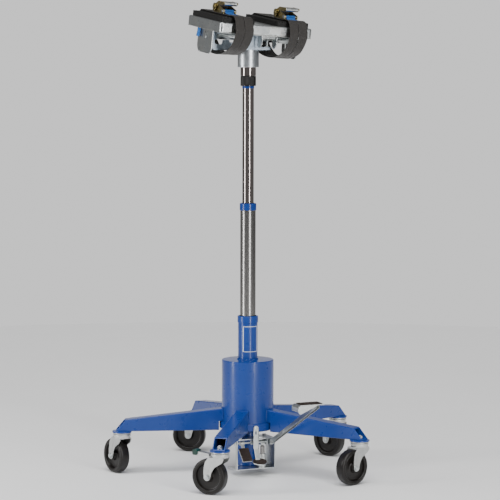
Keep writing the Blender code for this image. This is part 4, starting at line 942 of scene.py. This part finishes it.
def build_tray():
    low, high = local_box("platform_tray", TRAY_FRAME)
    half_x, half_y, top = high.x, high.y, high.z
    sheet, rim = 0.004, 0.038
    under, rim_low = top - sheet, top - rim
    outer = prism(rounded(-half_x, half_x, -half_y, half_y, 0.012, 8), rim_low, top)
    outer = shape([outer], ease=0.0055, steps=4)
    hollow = prism(rounded(sheet - half_x, half_x - sheet, sheet - half_y, half_y - sheet, 0.008, 8),
                   rim_low - 0.02, under)
    shaft_holes = [rod((s * 0.15, 0, 0), (s * 0.22, 0, 0), 0.0131, 48) for s in (-1, 1)]
    tray = shape([outer], cuts=[hollow])
    piece("saddle_tray", tray, "zinc", "platform", TRAY_FRAME, ["platform_tray"], sharp=30)
    ear = rounded(-0.0715, 0.0715, low.z, under - 0.0002, 0.030, 12)
    ear_x = half_x - 0.0115
    slot = rounded(0.034, 0.044, -0.050, -0.014, 0.0048, 5)
    for sign, label in ((-1, "left"), (1, "right")):
        faces = sorted((sign * (ear_x - 0.002), sign * (ear_x + 0.002)))
        cuts = list(shaft_holes)
        if sign > 0:
            cuts.append(prism(slot, 0.15, 0.22, "YZ"))
        plate = shape([prism(ear, *faces, "YZ")], cuts=cuts, ease=0.0009, steps=2)
        piece(f"saddle_ear_{label}", plate, "zinc", "platform", TRAY_FRAME)
        seam = [Vector((sign * (ear_x - 0.0022), y, under + 0.0002)) for y in (-0.060, 0.060)]
        piece(f"ear_weld_{label}", bead_path(seam, 0.0018, sign), "zinc", "platform", TRAY_FRAME)
    screw = TRAY_FRAME.inverted() @ Vector(JOINTS["fore_screw_turn"]["pos_m"])
    clevis = [(-0.102, under - 0.0002), (-0.060, under - 0.0002), (-0.060, -0.012)]
    clevis += arc((-0.078, -0.012), 0.018, 0, -110, 10) + [(-0.095, -0.020), (-0.102, -0.014)]
    cheeks = [prism(clevis, screw.x - 0.032, screw.x - 0.029, "YZ"),
              prism(clevis, screw.x + 0.029, screw.x + 0.032, "YZ")]
    bridge = box(screw.x - 0.031, screw.x + 0.031, screw.y - 0.008, screw.y + 0.008, 0.008, 0.022)
    bore = moved(disc(0.0053, 0, 0.04, 24), screw.x, screw.y)
    made = shape([bridge, *cheeks], cuts=[bore], ease=0.0011, steps=2)
    piece("screw_clevis", made, "zinc", "platform", TRAY_FRAME)
    lip = []
    ring = rounded(0.0005 - half_x, half_x - 0.0005, 0.0005 - half_y, half_y - 0.0005, 0.0115, 8)
    for x, y in ring:
        lip.append(Vector((x, y, rim_low + 0.0004)))
    piece("rim_lip", strand(lip + lip[:1], 0.0016), "pressed", "platform", TRAY_FRAME)
    build_label()


def strand(points, radius, sides=8):
    """Smooth round bead along a closed, level run of points."""
    bm = bmesh.new()
    rings = []
    count = len(points) - 1
    up = Vector((0, 0, radius))
    for k in range(count):
        along = (points[(k + 1) % count] - points[k - 1]).normalized()
        side = along.cross(up).normalized() * radius
        turns = [TURN * j / sides for j in range(sides)]
        rings.append([bm.verts.new(points[k] + side * math.cos(a) + up * math.sin(a)) for a in turns])
    return skinned(bm, rings)


def build_label():
    """Blank framed plate on the tray's front rim."""
    low, high = local_box("platform_tray", TRAY_FRAME)
    front = low.y
    x0, x1 = 0.012, 0.058
    z0, z1 = high.z - 0.031, high.z - 0.011
    plate = prism(rounded(x0, x1, z0, z1, 0.002), front - 0.0006, front + 0.0002, "XZ")
    rim = shape([prism(rounded(x0, x1, z0, z1, 0.002), front - 0.0010, front - 0.0003, "XZ")],
                cuts=[prism(rounded(x0 + 0.0012, x1 - 0.0012, z0 + 0.0012, z1 - 0.0012, 0.001), front - 0.01,
                            front + 0.01, "XZ")])
    piece("tray_plate", plate, "pressed", "platform", TRAY_FRAME)
    piece("tray_plate_frame", rim, "label_frame", "platform", TRAY_FRAME)


def build_pads():
    """Ribbed mats lying on the saddle, set in from its edge."""
    inset, depth, wanted = 0.007, 0.0050, 0.0115
    for side in ("left", "right"):
        node = f"pad_{side}"
        low, high = local_box(node, TRAY_FRAME)
        x0, x1 = low.x + inset, high.x - inset
        ribs = round((x1 - x0) / wanted)
        pitch = (x1 - x0) / ribs
        outline = [(x0, low.z)]
        for k in range(ribs):
            x = x0 + k * pitch
            outline += [(x, high.z - depth)]
            outline += arc((x + 0.40 * pitch, high.z - 0.36 * pitch), 0.36 * pitch, 165, 15, 6)
            outline += [(x + 0.80 * pitch, high.z - depth)]
        outline += [(x1, high.z - depth), (x1, low.z)]
        edge = prism(rounded(x0, x1, low.y + inset, high.y - inset, 0.010, 6), low.z - 0.01, high.z + 0.01)
        pad = shape([prism(outline, low.y, high.y, "XZ")], common=[edge])
        made = piece(f"ribbed_pad_{side}", pad, "rubber", "platform", TRAY_FRAME, [node])


# ---- straps and ratchets ----
def strap_points(low, high, loose=0.0):
    """(y, z) points of a strap round the saddle, from its solid's box; loose lets it stand off below."""
    top = high.z - 0.0016
    front, back = low.y, high.y
    drop = high.z - low.z
    return [
        (0.0, top), (front + 0.089, top), (front + 0.031, top), (front + 0.0065, top - 0.17 * drop),
        (front + 0.0015 - loose, top - 0.41 * drop), (front + 0.045 - loose, top - 0.75 * drop),
        (front + 0.117, top - 0.93 * drop), (0.0, top - drop + 0.0034 - loose),
        (back - 0.100, top - 0.91 * drop), (back - 0.032, top - 0.66 * drop),
        (back - 0.0005, top - 0.34 * drop), (back - 0.003, top - 0.145 * drop), (back - 0.023, top),
        (back - 0.082, top),
    ]


def build_straps():
    for side in ("left", "right"):
        low, high = local_box(f"strap_{side}", TRAY_FRAME)
        centre = (low.x + high.x) / 2
        width = (high.x - low.x) / 2
        for turn, offset, loose in (("inner", -0.5, 0.0), ("outer", 0.5, 0.0012)):
            if side == "left":
                loose = 0.0012 - loose
            line = smooth_line(strap_points(low, high, loose), 8)
            web = ribbon(line, width - 0.0006, STRAP_WEB, centre + offset * width)
            stands = [f"strap_{side}"] if turn == "inner" else []
            made = piece(f"webbing_{side}_{turn}", web, "strap", "platform", TRAY_FRAME, stands, sharp=60)


def build_ratchets():
    for side in ("left", "right"):
        axle = Vector(JOINTS[f"ratchet_spool_turn_{side}"]["pos_m"])
        at = axes(x=JOINTS["tilt_fore"]["axis"], z=JOINTS["fore_screw_turn"]["axis"], at=axle)
        half, sheet = 0.026, 0.0022
        floor = -0.0185
        side_plate = [(-0.082, floor), (0.010, floor)] + arc((0.012, floor + 0.008), 0.008, -80, 20, 4)
        side_plate += arc((0, 0.0), 0.0125, 20, 130, 8) + [(-0.030, 0.0095), (-0.078, -0.002)]
        side_plate += arc((-0.078, -0.006), 0.004, 90, 200, 4)
        plates = [prism(side_plate, -half, sheet - half, "YZ"), prism(side_plate, half - sheet, half, "YZ")]
        base = box(0.001 - half, half - 0.001, -0.080, -0.036, floor, floor + 0.0022)
        axle_bore = ((-0.05, 0, 0), (0.05, 0, 0), 0.0069, 24)
        made = shape([base, *plates], cuts=[rod(*axle_bore)], ease=0.0006, steps=2)
        piece(f"ratchet_cheeks_{side}", made, "brass", "platform", at, [f"ratchet_frame_{side}"])
        bolt = [rod((-half - 0.003, -0.072, -0.0095), (half + 0.003, -0.072, -0.0095), 0.0045, 24)]
        for sign in (-1, 1):
            start = (sign * (half + 0.0002), -0.072, -0.0095)
            bolt.append(aimed(hexagon(0.0075, 0, 0.0038), start, (sign, -0.072, -0.0095)))
        piece(f"ratchet_bolt_{side}", shape(bolt), "zinc", "platform", at)
        spool = [rod((-half - 0.009, 0, 0), (half + 0.009, 0, 0), 0.0065, 32, 0.001)]
        piece(f"ratchet_axle_{side}", shape(spool), "brass", f"spool_{side}", at, [f"ratchet_spool_{side}"])
        for sign, label in ((-1, "l"), (1, "r")):
            gear = gear_mesh(0.0160, 0.0066, half + 0.0046, half + 0.0076)
            gear.transform(Matrix.Rotation(sign * math.pi / 2, 4, "Y"))
            piece(f"ratchet_gear_{side}_{label}", gear, "brass", f"spool_{side}", at)
        coil = ribbon(spiral_line(0.0070, 0.0155, 4), 0.043, 0.0013, 0.0, closed=False)
        piece(f"webbing_roll_{side}", coil, "strap", f"spool_{side}", at, sharp=60)
        grip_y, grip_z = -0.078, 0.019
        outline = arc((0, 0), 0.0155, -80, 100, 12) + [(-0.030, 0.0265), (-0.082, 0.0255)]
        outline += arc((-0.082, 0.0205), 0.005, 90, 200, 4)
        outline += [(-0.074, 0.0120), (-0.030, 0.0115), (-0.013, -0.006)]
        low_x = half + 0.001
        cheeks = [prism(outline, -low_x - sheet, -low_x, "YZ"), prism(outline, low_x, low_x + sheet, "YZ")]
        bridge = prism([
            (-0.068, 0.0215), (-0.040, 0.0215), (-0.036, 0.0235), (-0.036, 0.0257), (-0.068, 0.0245),
        ], -low_x - 0.0005, low_x + 0.0005, "YZ")
        made = shape([bridge, *cheeks], cuts=[rod(*axle_bore)], ease=0.0006, steps=2)
        piece(f"ratchet_lever_{side}", made, "brass", f"handle_{side}", at, [f"ratchet_handle_{side}"])
        grip = rod((-half, grip_y, grip_z), (half, grip_y, grip_z), 0.0078, 32, 0.001)
        piece(f"ratchet_grip_{side}", grip, "zinc", f"handle_{side}", at)
        pull = shape([prism(rounded(-0.017, 0.017, -0.060, -0.020, 0.005), 0.0150, 0.0168)], ease=0.0005)
        piece(f"pawl_slider_{side}", pull, "zinc", f"handle_{side}", at)
        tongue = smooth_line([
            (-0.072, -0.0035), (-0.077, -0.0065), (-0.0765, -0.0130), (-0.083, -0.0178), (-0.100, -0.0182),
            (-0.118, -0.0184),
        ], 6, closed=False)
        web = ribbon(tongue, 0.036, BLUE_WEB, 0.0, closed=False)
        made = piece(f"blue_tongue_{side}", web, "blue_strap", "platform", at, sharp=60)


def build_tail():
    """Free end of the blue webbing, hanging past the left ear."""
    at = TRAY_FRAME @ Matrix.Translation((-0.1858, 0.052, 0)) @ Matrix.Rotation(math.pi / 2, 4, "Z")
    line = smooth_line([(0.0, 0.0225), (0.0006, 0.012), (0.0020, 0.001), (0.0042, -0.010)], 5, closed=False)
    tail = ribbon(line, 0.030, BLUE_WEB, 0.0, closed=False)
    made = piece("blue_tail", tail, "blue_strap", "platform", at, sharp=60)


def spiral_line(inner, outer, turns, steps=28):
    line = []
    for k in range(int(turns * steps) + 1):
        radius = inner + (outer - inner) * k / (turns * steps)
        line.append(Vector((radius * math.cos(TURN * k / steps), radius * math.sin(TURN * k / steps))))
    return line


def gear_mesh(outer, inner, low, high, teeth=11):
    outline = []
    root = outer * 0.82
    for k in range(teeth):
        for radius, degrees in ((outer, 0), (outer, 9), (root, 14), (root, 27)):
            a = math.radians(360 * k / teeth + degrees)
            outline.append((radius * math.cos(a), radius * math.sin(a)))
    return shape([prism(outline, low, high)], cuts=[disc(inner, low - 0.01, high + 0.01, 32)], ease=0.0003)


# ---- foot pump and pedals ----
def build_bracket():
    low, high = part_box("pump_bracket")
    sheet = 0.003
    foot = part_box("cylinder_barrel")[1].x
    lever, small = Vector(JOINTS["pump_stroke"]["pos_m"]), Vector(JOINTS["approach_press"]["pos_m"])
    pin_low, pin_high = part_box("pedal_pivot_pin")
    tab_x = pin_high.x - 0.002
    bottom = box(low.x, high.x, low.y, high.y, low.z, low.z + sheet)
    top = box(low.x, high.x, low.y, high.y, high.z - sheet, high.z)
    right = box(high.x - sheet, high.x, low.y, high.y, low.z, high.z)
    left = box(low.x, low.x + sheet, low.y, low.y + 0.016, low.z, high.z)
    tab = box(tab_x - sheet, tab_x, low.y, low.y + 0.018, small.z - 0.008, high.z - 0.001)
    foot_cut = disc(foot + 0.0004, low.z + sheet + 0.0002, high.z + 0.01, 96)
    pin_cut = rod((low.x - 0.01, small.y, small.z), (tab_x + 0.005, small.y, small.z), 0.0044, 24)
    shaft_cut = rod((high.x - 0.01, lever.y, lever.z), (high.x + 0.01, lever.y, lever.z), 0.0074, 24)
    made = shape([bottom, top, right, left, tab], cuts=[foot_cut, pin_cut, shaft_cut], ease=0.0009, steps=2)
    piece("bracket_sheet", made, "zinc", "base", stands_for=["pump_bracket"])
    for x, y in ((-0.070, -0.030), (0.058, -0.028), (-0.070, -0.086), (0.018, -0.088)):
        made = moved(hexagon(0.0075, high.z, high.z + 0.0045), x, y)
        piece(f"bracket_bolt_{'a' if x < 0 else 'b'}{'a' if y < -0.05 else 'b'}", made, "zinc", "base")
    low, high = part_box("pump_body")
    x, y = (low.x + high.x) / 2, (low.y + high.y) / 2
    radius = high.x - x
    body = turned([
        (0, low.z), (radius, low.z), (radius, low.z + 0.010), (radius - 0.0018, low.z + 0.0115),
        (radius - 0.0018, high.z - 0.0115), (radius, high.z - 0.010), (radius, high.z - 0.001),
        (radius - 0.001, high.z), (0.0093, high.z), (0.0093, low.z + 0.006), (0, low.z + 0.006),
    ], 64)
    piece("pump_barrel", moved(body, x, y), "zinc", "base", stands_for=["pump_body"])
    low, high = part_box("pump_plunger")
    plunger = turned([
        (0, low.z), (0.0088, low.z), (0.0088, high.z - 0.004), (0.0042, high.z - 0.001), (0.0035, high.z),
        (0, high.z),
    ], 48)
    piece("plunger_pin", moved(plunger, x, y), "steel", "plunger", stands_for=["pump_plunger"])
    pin = [rod((pin_low.x, small.y, small.z), (pin_high.x, small.y, small.z), 0.004, 32, 0.0006)]
    head_at = (pin_low.x + 0.0002, small.y, small.z)
    pin.append(aimed(hexagon(0.0075, 0, 0.0042), head_at, (-1, small.y, small.z)))
    piece("pivot_pin", shape(pin), "zinc", "base", stands_for=["pedal_pivot_pin"])


def channel(start, end, width, height, wall):
    """Channel bar between two (y, z) points, open on its underside."""
    start, end = Vector(start), Vector(end)
    along = (end - start).normalized()
    up = Vector((-along.y, along.x))
    if up.y < 0:
        up = -up
    outer = [start - up * height / 2, end - up * height / 2, end + up * height / 2, start + up * height / 2]
    low, high = -height / 2 - 0.01, height / 2 - wall
    far, near = end + along * 0.01, start - along * 0.01
    inner = [near + up * low, far + up * low, far + up * high, near + up * high]
    solid = prism([tuple(p) for p in outer], -width / 2, width / 2, "YZ")
    groove = prism([tuple(p) for p in inner], wall - width / 2, width / 2 - wall, "YZ")
    return shape([solid], cuts=[groove])


def build_lever():
    pivot = Vector(JOINTS["pump_stroke"]["pos_m"])
    low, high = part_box("pump_lever")
    pedal_low, pedal_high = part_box("pump_pedal")
    x, y, z = pivot
    width, depth, elbow_y = 0.016, 0.015, -0.108
    crank_end, crank_width = -0.083, 0.016
    elbow = Vector((elbow_y, z + 0.006))
    tip = Vector((pedal_low.y + (pedal_high.y - pedal_low.y) * 0.55, pedal_high.z - 0.012))
    arm = channel(elbow, tip, width, depth, 0.003)
    lower = shape([bar((y + 0.004, z), elbow - Vector((0.004, 0)), width, 0.018)], ease=0.002)
    boss = rod((x - width / 2, y, z), (x + width / 2, y, z), 0.0122, 48, 0.001)
    parts = [moved(arm, x=x), moved(lower, x=x), boss]
    parts.append(rod((low.x, y, z), (high.x, y, z), 0.007, 32, 0.0006))
    parts.append(box(low.x, low.x + crank_width, crank_end, y + 0.004, z - 0.009, z - 0.001))
    piece("lever_arm", shape(parts, ease=0.0005, steps=1), "zinc", "lever", stands_for=["pump_lever"])
    for k, share in enumerate((0.04, 0.30, 0.95)):
        spot = elbow.lerp(tip, share)
        side = x - width / 2
        head = aimed(hexagon(0.0058, 0, 0.0036), (side + 0.0002, spot.x, spot.y), (-1.0, spot.x, spot.y))
        piece(f"lever_bolt_{k + 1}", head, "zinc", "lever")
    edge_r = 0.012
    x0, x1 = pedal_low.x, pedal_high.x
    top = pedal_high.z
    outline = [(x1, top)] + arc((x0 + edge_r, top - edge_r), edge_r, 90, 180, 12)
    outline += [(x0, top - 0.026), (x0 + 0.003, top - 0.026)]
    outline += arc((x0 + edge_r, top - edge_r), edge_r - 0.003, 180, 90, 12) + [(x1, top - 0.003)]
    flap = [(x0 + 0.001, top - 0.004), (x0 + 0.078, top - 0.002), (x0 + 0.074, top - 0.006)]
    flap += arc((x0 + 0.010, top - 0.0245), 0.009, -90, -180, 8)
    flap = prism(flap, pedal_low.y, pedal_low.y + 0.003, "XZ")
    plate = shape([prism(outline, pedal_low.y, pedal_high.y, "XZ"), flap], ease=0.0010, steps=2)
    piece("pedal_plate", plate, "zinc", "lever", stands_for=["pump_pedal"])
    inset = 0.005
    mat_x = (x0 + edge_r + 0.002, x1 - inset)
    mat_y = (pedal_low.y + inset, pedal_high.y - inset)
    mat = shape([prism(rounded(*mat_x, *mat_y, 0.004), top + 0.0001, top + 0.0022)], ease=0.0004, steps=1)
    piece("pedal_mat", mat, "mat", "lever")
    studs = bmesh.new()
    columns, rows = 16, 9
    for i in range(columns):
        for j in range(rows):
            cx = mat_x[0] + (mat_x[1] - mat_x[0]) * (i + 0.5 + 0.25 * (-1) ** j) / columns
            cy = mat_y[0] + (mat_y[1] - mat_y[0]) * (j + 0.5) / rows
            stud = bmesh.ops.create_cone(studs, cap_ends=True, segments=8, radius1=0.0019, radius2=0.0013,
                                         depth=0.0016)
            bmesh.ops.translate(studs, verts=stud["verts"], vec=(cx, cy, top + 0.0028))
    mesh = bpy.data.meshes.new("studs")
    studs.to_mesh(mesh)
    studs.free()
    piece("pedal_mat_studs", mesh, "mat", "lever")


def build_small_pedals():
    pivot = Vector(JOINTS["approach_press"]["pos_m"])
    x, y, z = pivot
    low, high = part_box("approach_pedal")
    face = y - 0.022
    upright = prism(rounded(x - 0.010, x + 0.010, z - 0.0255, high.z, 0.0095, 8), face - 0.004, face, "XZ")
    hole = rod((x, face - 0.02, high.z - 0.010), (x, face + 0.02, high.z - 0.010), 0.0042, 24)
    slot = rounded(x - 0.003, x + 0.003, high.z - 0.034, high.z - 0.021, 0.0028)
    slot = prism(slot, face - 0.02, face + 0.02, "XZ")
    hub = rod((x - 0.010, y, z), (x + 0.010, y, z), 0.0085, 32, 0.0008)
    web = box(x - 0.003, x + 0.003, face, y, z - 0.005, z + 0.005)
    foot = moved(bar((face - 0.002, z - 0.0215), (face - 0.018, z - 0.0645), 0.018, 0.004), x=x + 0.002)
    foot = shape([foot], ease=0.001)
    tray = ellipse(x + 0.006, face - 0.026, 0.028, 0.024)
    centre = Vector((x + 0.006, face - 0.026, low.z + 0.004))
    slope = Matrix.Translation(centre) @ Matrix.Rotation(PAD_SLOPE, 4, "X") @ Matrix.Translation(-centre)
    plate = shape([prism(tray, low.z, low.z + 0.0045)], ease=0.0012, steps=3)
    plate.transform(slope)
    bore = rod((-0.1, y, z), (0.1, y, z), 0.0043, 24)
    made = shape([upright, hub, web, foot, plate], cuts=[bore, hole, slot], ease=0.0005, steps=1)
    piece("approach_arm", made, "zinc", "approach", stands_for=["approach_pedal"])
    bolt = aimed(hexagon(0.0062, 0, 0.0034), (x, face - 0.0041, high.z - 0.010), (x, -1, high.z - 0.010))
    piece("approach_bolt", bolt, "zinc", "approach")
    pad = ellipse(x + 0.006, face - 0.026, 0.0272, 0.0232)
    cover = [prism(pad, low.z + 0.0046, low.z + 0.0092)]
    grooves = []
    for k in range(-3, 4):
        row = face - 0.026 + k * 0.0065
        grooves.append(box(x - 0.03, x + 0.04, row - 0.0008, row + 0.0008, low.z + 0.0080, low.z + 0.02))
    cover = shape(cover, cuts=grooves, ease=0.0006, steps=1)
    cover.transform(slope)
    piece("approach_pad", cover, "mat", "approach")

    pivot = Vector(JOINTS["release_press"]["pos_m"])
    x, y, z = pivot
    hub = rod((x - 0.009, y, z), (x + 0.009, y, z), 0.0085, 32, 0.0008)
    arm = moved(bar((y, z), (y - 0.026, z - 0.0355), 0.012, 0.004), x=x)
    start, end = Vector((y - 0.014, z - 0.0195)), Vector((y - 0.056, z - 0.0615))
    along = (end - start).normalized()
    out = Vector((along.y, -along.x))
    if out.y < 0:
        out = -out
    back = moved(bar(start - out * 0.003, end - out * 0.003, 0.040, 0.004), x=x)
    back = shape([back], ease=0.0015)
    bore = rod((-0.12, y, z), (0.1, y, z), 0.0043, 24)
    made = shape([back, arm, hub], cuts=[bore], ease=0.0004, steps=1)
    piece("release_arm", made, "zinc", "release", stands_for=["release_pedal"])
    pad = moved(bar(start + out * 0.0025, end + out * 0.0025, 0.0385, 0.0066), x=x)
    pad = shape([pad], ease=0.0016, steps=3)
    grooves = []
    for k in range(1, 9):
        spot = start.lerp(end, k / 9)
        groove = bar(spot - along * 0.0007 + out * 0.008, spot + along * 0.0007 + out * 0.008, 0.05, 0.0064)
        grooves.append(moved(groove, x=x))
    piece("release_pad", shape([pad], cuts=grooves), "mat", "release")


def build_barrel_label():
    """Blank label on the upper barrel: a thin curved film with a plain frame."""
    radius = top_radius("cylinder_barrel")
    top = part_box("barrel_collar")[0].z
    for name, finish, proud, inset in (("barrel_label_frame", "label_frame", 0.0002, 0.0),
                                       ("barrel_label", "blue", 0.0004, 0.0022)):
        bm = bmesh.new()
        rows = []
        z0, z1 = top - 0.112 + inset, top - 0.012 - inset
        turn = math.asin((0.028 - inset) / radius)
        facing = math.radians(-90 - 24 + 18)
        for z in (z0, z1):
            for r in (radius + proud - 0.00015, radius + proud):
                angles = [facing + turn * t / 12 for t in range(-12, 13)]
                rows.append([bm.verts.new((r * math.cos(a), r * math.sin(a), z)) for a in angles])
        inner_low, outer_low, inner_high, outer_high = rows
        around = [list(ring) for ring in zip(inner_low, outer_low, outer_high, inner_high)]
        piece(name, skinned(bm, around, closed=False), finish, "base")


# ---- stage: floor, lights, camera ----
def build_stage():
    floor = bpy.data.meshes.new("floor")
    rim = arc((0, 0), FLOOR_RADIUS, 0, 357.5, 143)
    floor.from_pydata([(x, y, -0.0004) for x, y in rim], [], [tuple(range(len(rim)))])
    ground = bpy.data.objects.new("studio_floor", floor)
    bpy.context.scene.collection.objects.link(ground)
    floor.materials.append(pale("studio_floor_paint", (0.86, 0.86, 0.86), 0.6))
    for name, azimuth, height, distance, size, power in SOFTBOXES:
        data = bpy.data.lights.new(name, "AREA")
        data.shape = "RECTANGLE"
        data.size, data.size_y = size
        data.energy = power
        lamp = bpy.data.objects.new(name, data)
        bpy.context.scene.collection.objects.link(lamp)
        a = CAMERA_AZIMUTH + azimuth
        lamp.location = (math.sin(a) * distance, -math.cos(a) * distance, height)
        aim = Vector((0, 0, SOFTBOX_AIM)) - lamp.location
        lamp.rotation_euler = aim.to_track_quat("-Z", "Y").to_euler()


def build_world():
    """Grey room with a softly lit white backdrop in one direction."""
    world = bpy.data.worlds.new("studio")
    bpy.context.scene.world = world
    world.use_nodes = True
    tree = world.node_tree
    direction = tree.nodes.new("ShaderNodeTexCoord")
    facing = tree.nodes.new("ShaderNodeVectorMath")
    facing.operation = "DOT_PRODUCT"
    facing.inputs[1].default_value = (-math.sin(CAMERA_AZIMUTH), math.cos(CAMERA_AZIMUTH), 0)
    lobe = tree.nodes.new("ShaderNodeMapRange")
    lobe.interpolation_type = "SMOOTHSTEP"
    lobe.inputs["From Min"].default_value = math.cos(BACKDROP_FADE)
    lobe.inputs["From Max"].default_value = math.cos(BACKDROP_WIDTH)
    lobe.inputs["To Min"].default_value = WORLD_GREY
    lobe.inputs["To Max"].default_value = BACKDROP_WHITE
    tree.nodes["Background"].inputs["Color"].default_value = (1, 1, 1, 1)
    tree.links.new(direction.outputs["Generated"], facing.inputs[0])
    tree.links.new(facing.outputs["Value"], lobe.inputs["Value"])
    tree.links.new(lobe.outputs["Result"], tree.nodes["Background"].inputs["Strength"])
    sun = bpy.data.lights.new("overhead", "SUN")
    sun.energy = SUN_STRENGTH
    sun.angle = SUN_WIDTH
    lamp = bpy.data.objects.new("overhead", sun)
    bpy.context.scene.collection.objects.link(lamp)
    lamp.rotation_euler = (math.radians(22), math.radians(-14), 0)


def build_camera():
    """Eye-level camera at the front left, with a long lens."""
    data = bpy.data.cameras.new("camera")
    data.sensor_width = 36
    data.lens = CAMERA_LENS
    camera = bpy.data.objects.new("camera", data)
    bpy.context.scene.collection.objects.link(camera)
    across = Vector((math.cos(CAMERA_AZIMUTH), math.sin(CAMERA_AZIMUTH), 0))
    back = Vector((math.sin(CAMERA_AZIMUTH), -math.cos(CAMERA_AZIMUTH), 0))
    camera.location = back * CAMERA_DISTANCE + Vector((0, 0, CAMERA_HEIGHT))
    aim = Vector((0, 0, AIM_HEIGHT)) + across * AIM_SHIFT
    turn = (aim - camera.location).to_track_quat("-Z", "Y").to_matrix()
    camera.rotation_euler = (turn @ Matrix.Rotation(CAMERA_ROLL, 3, "Z")).to_euler()
    bpy.context.scene.camera = camera


for build in (
    build_camera, build_world, build_stage, build_drum, build_legs, build_casters, build_column,
    build_casting, build_cradle, build_tray, build_pads, build_straps, build_ratchets, build_tail,
    build_bracket, build_lever, build_small_pedals, build_barrel_label,
):
    build()
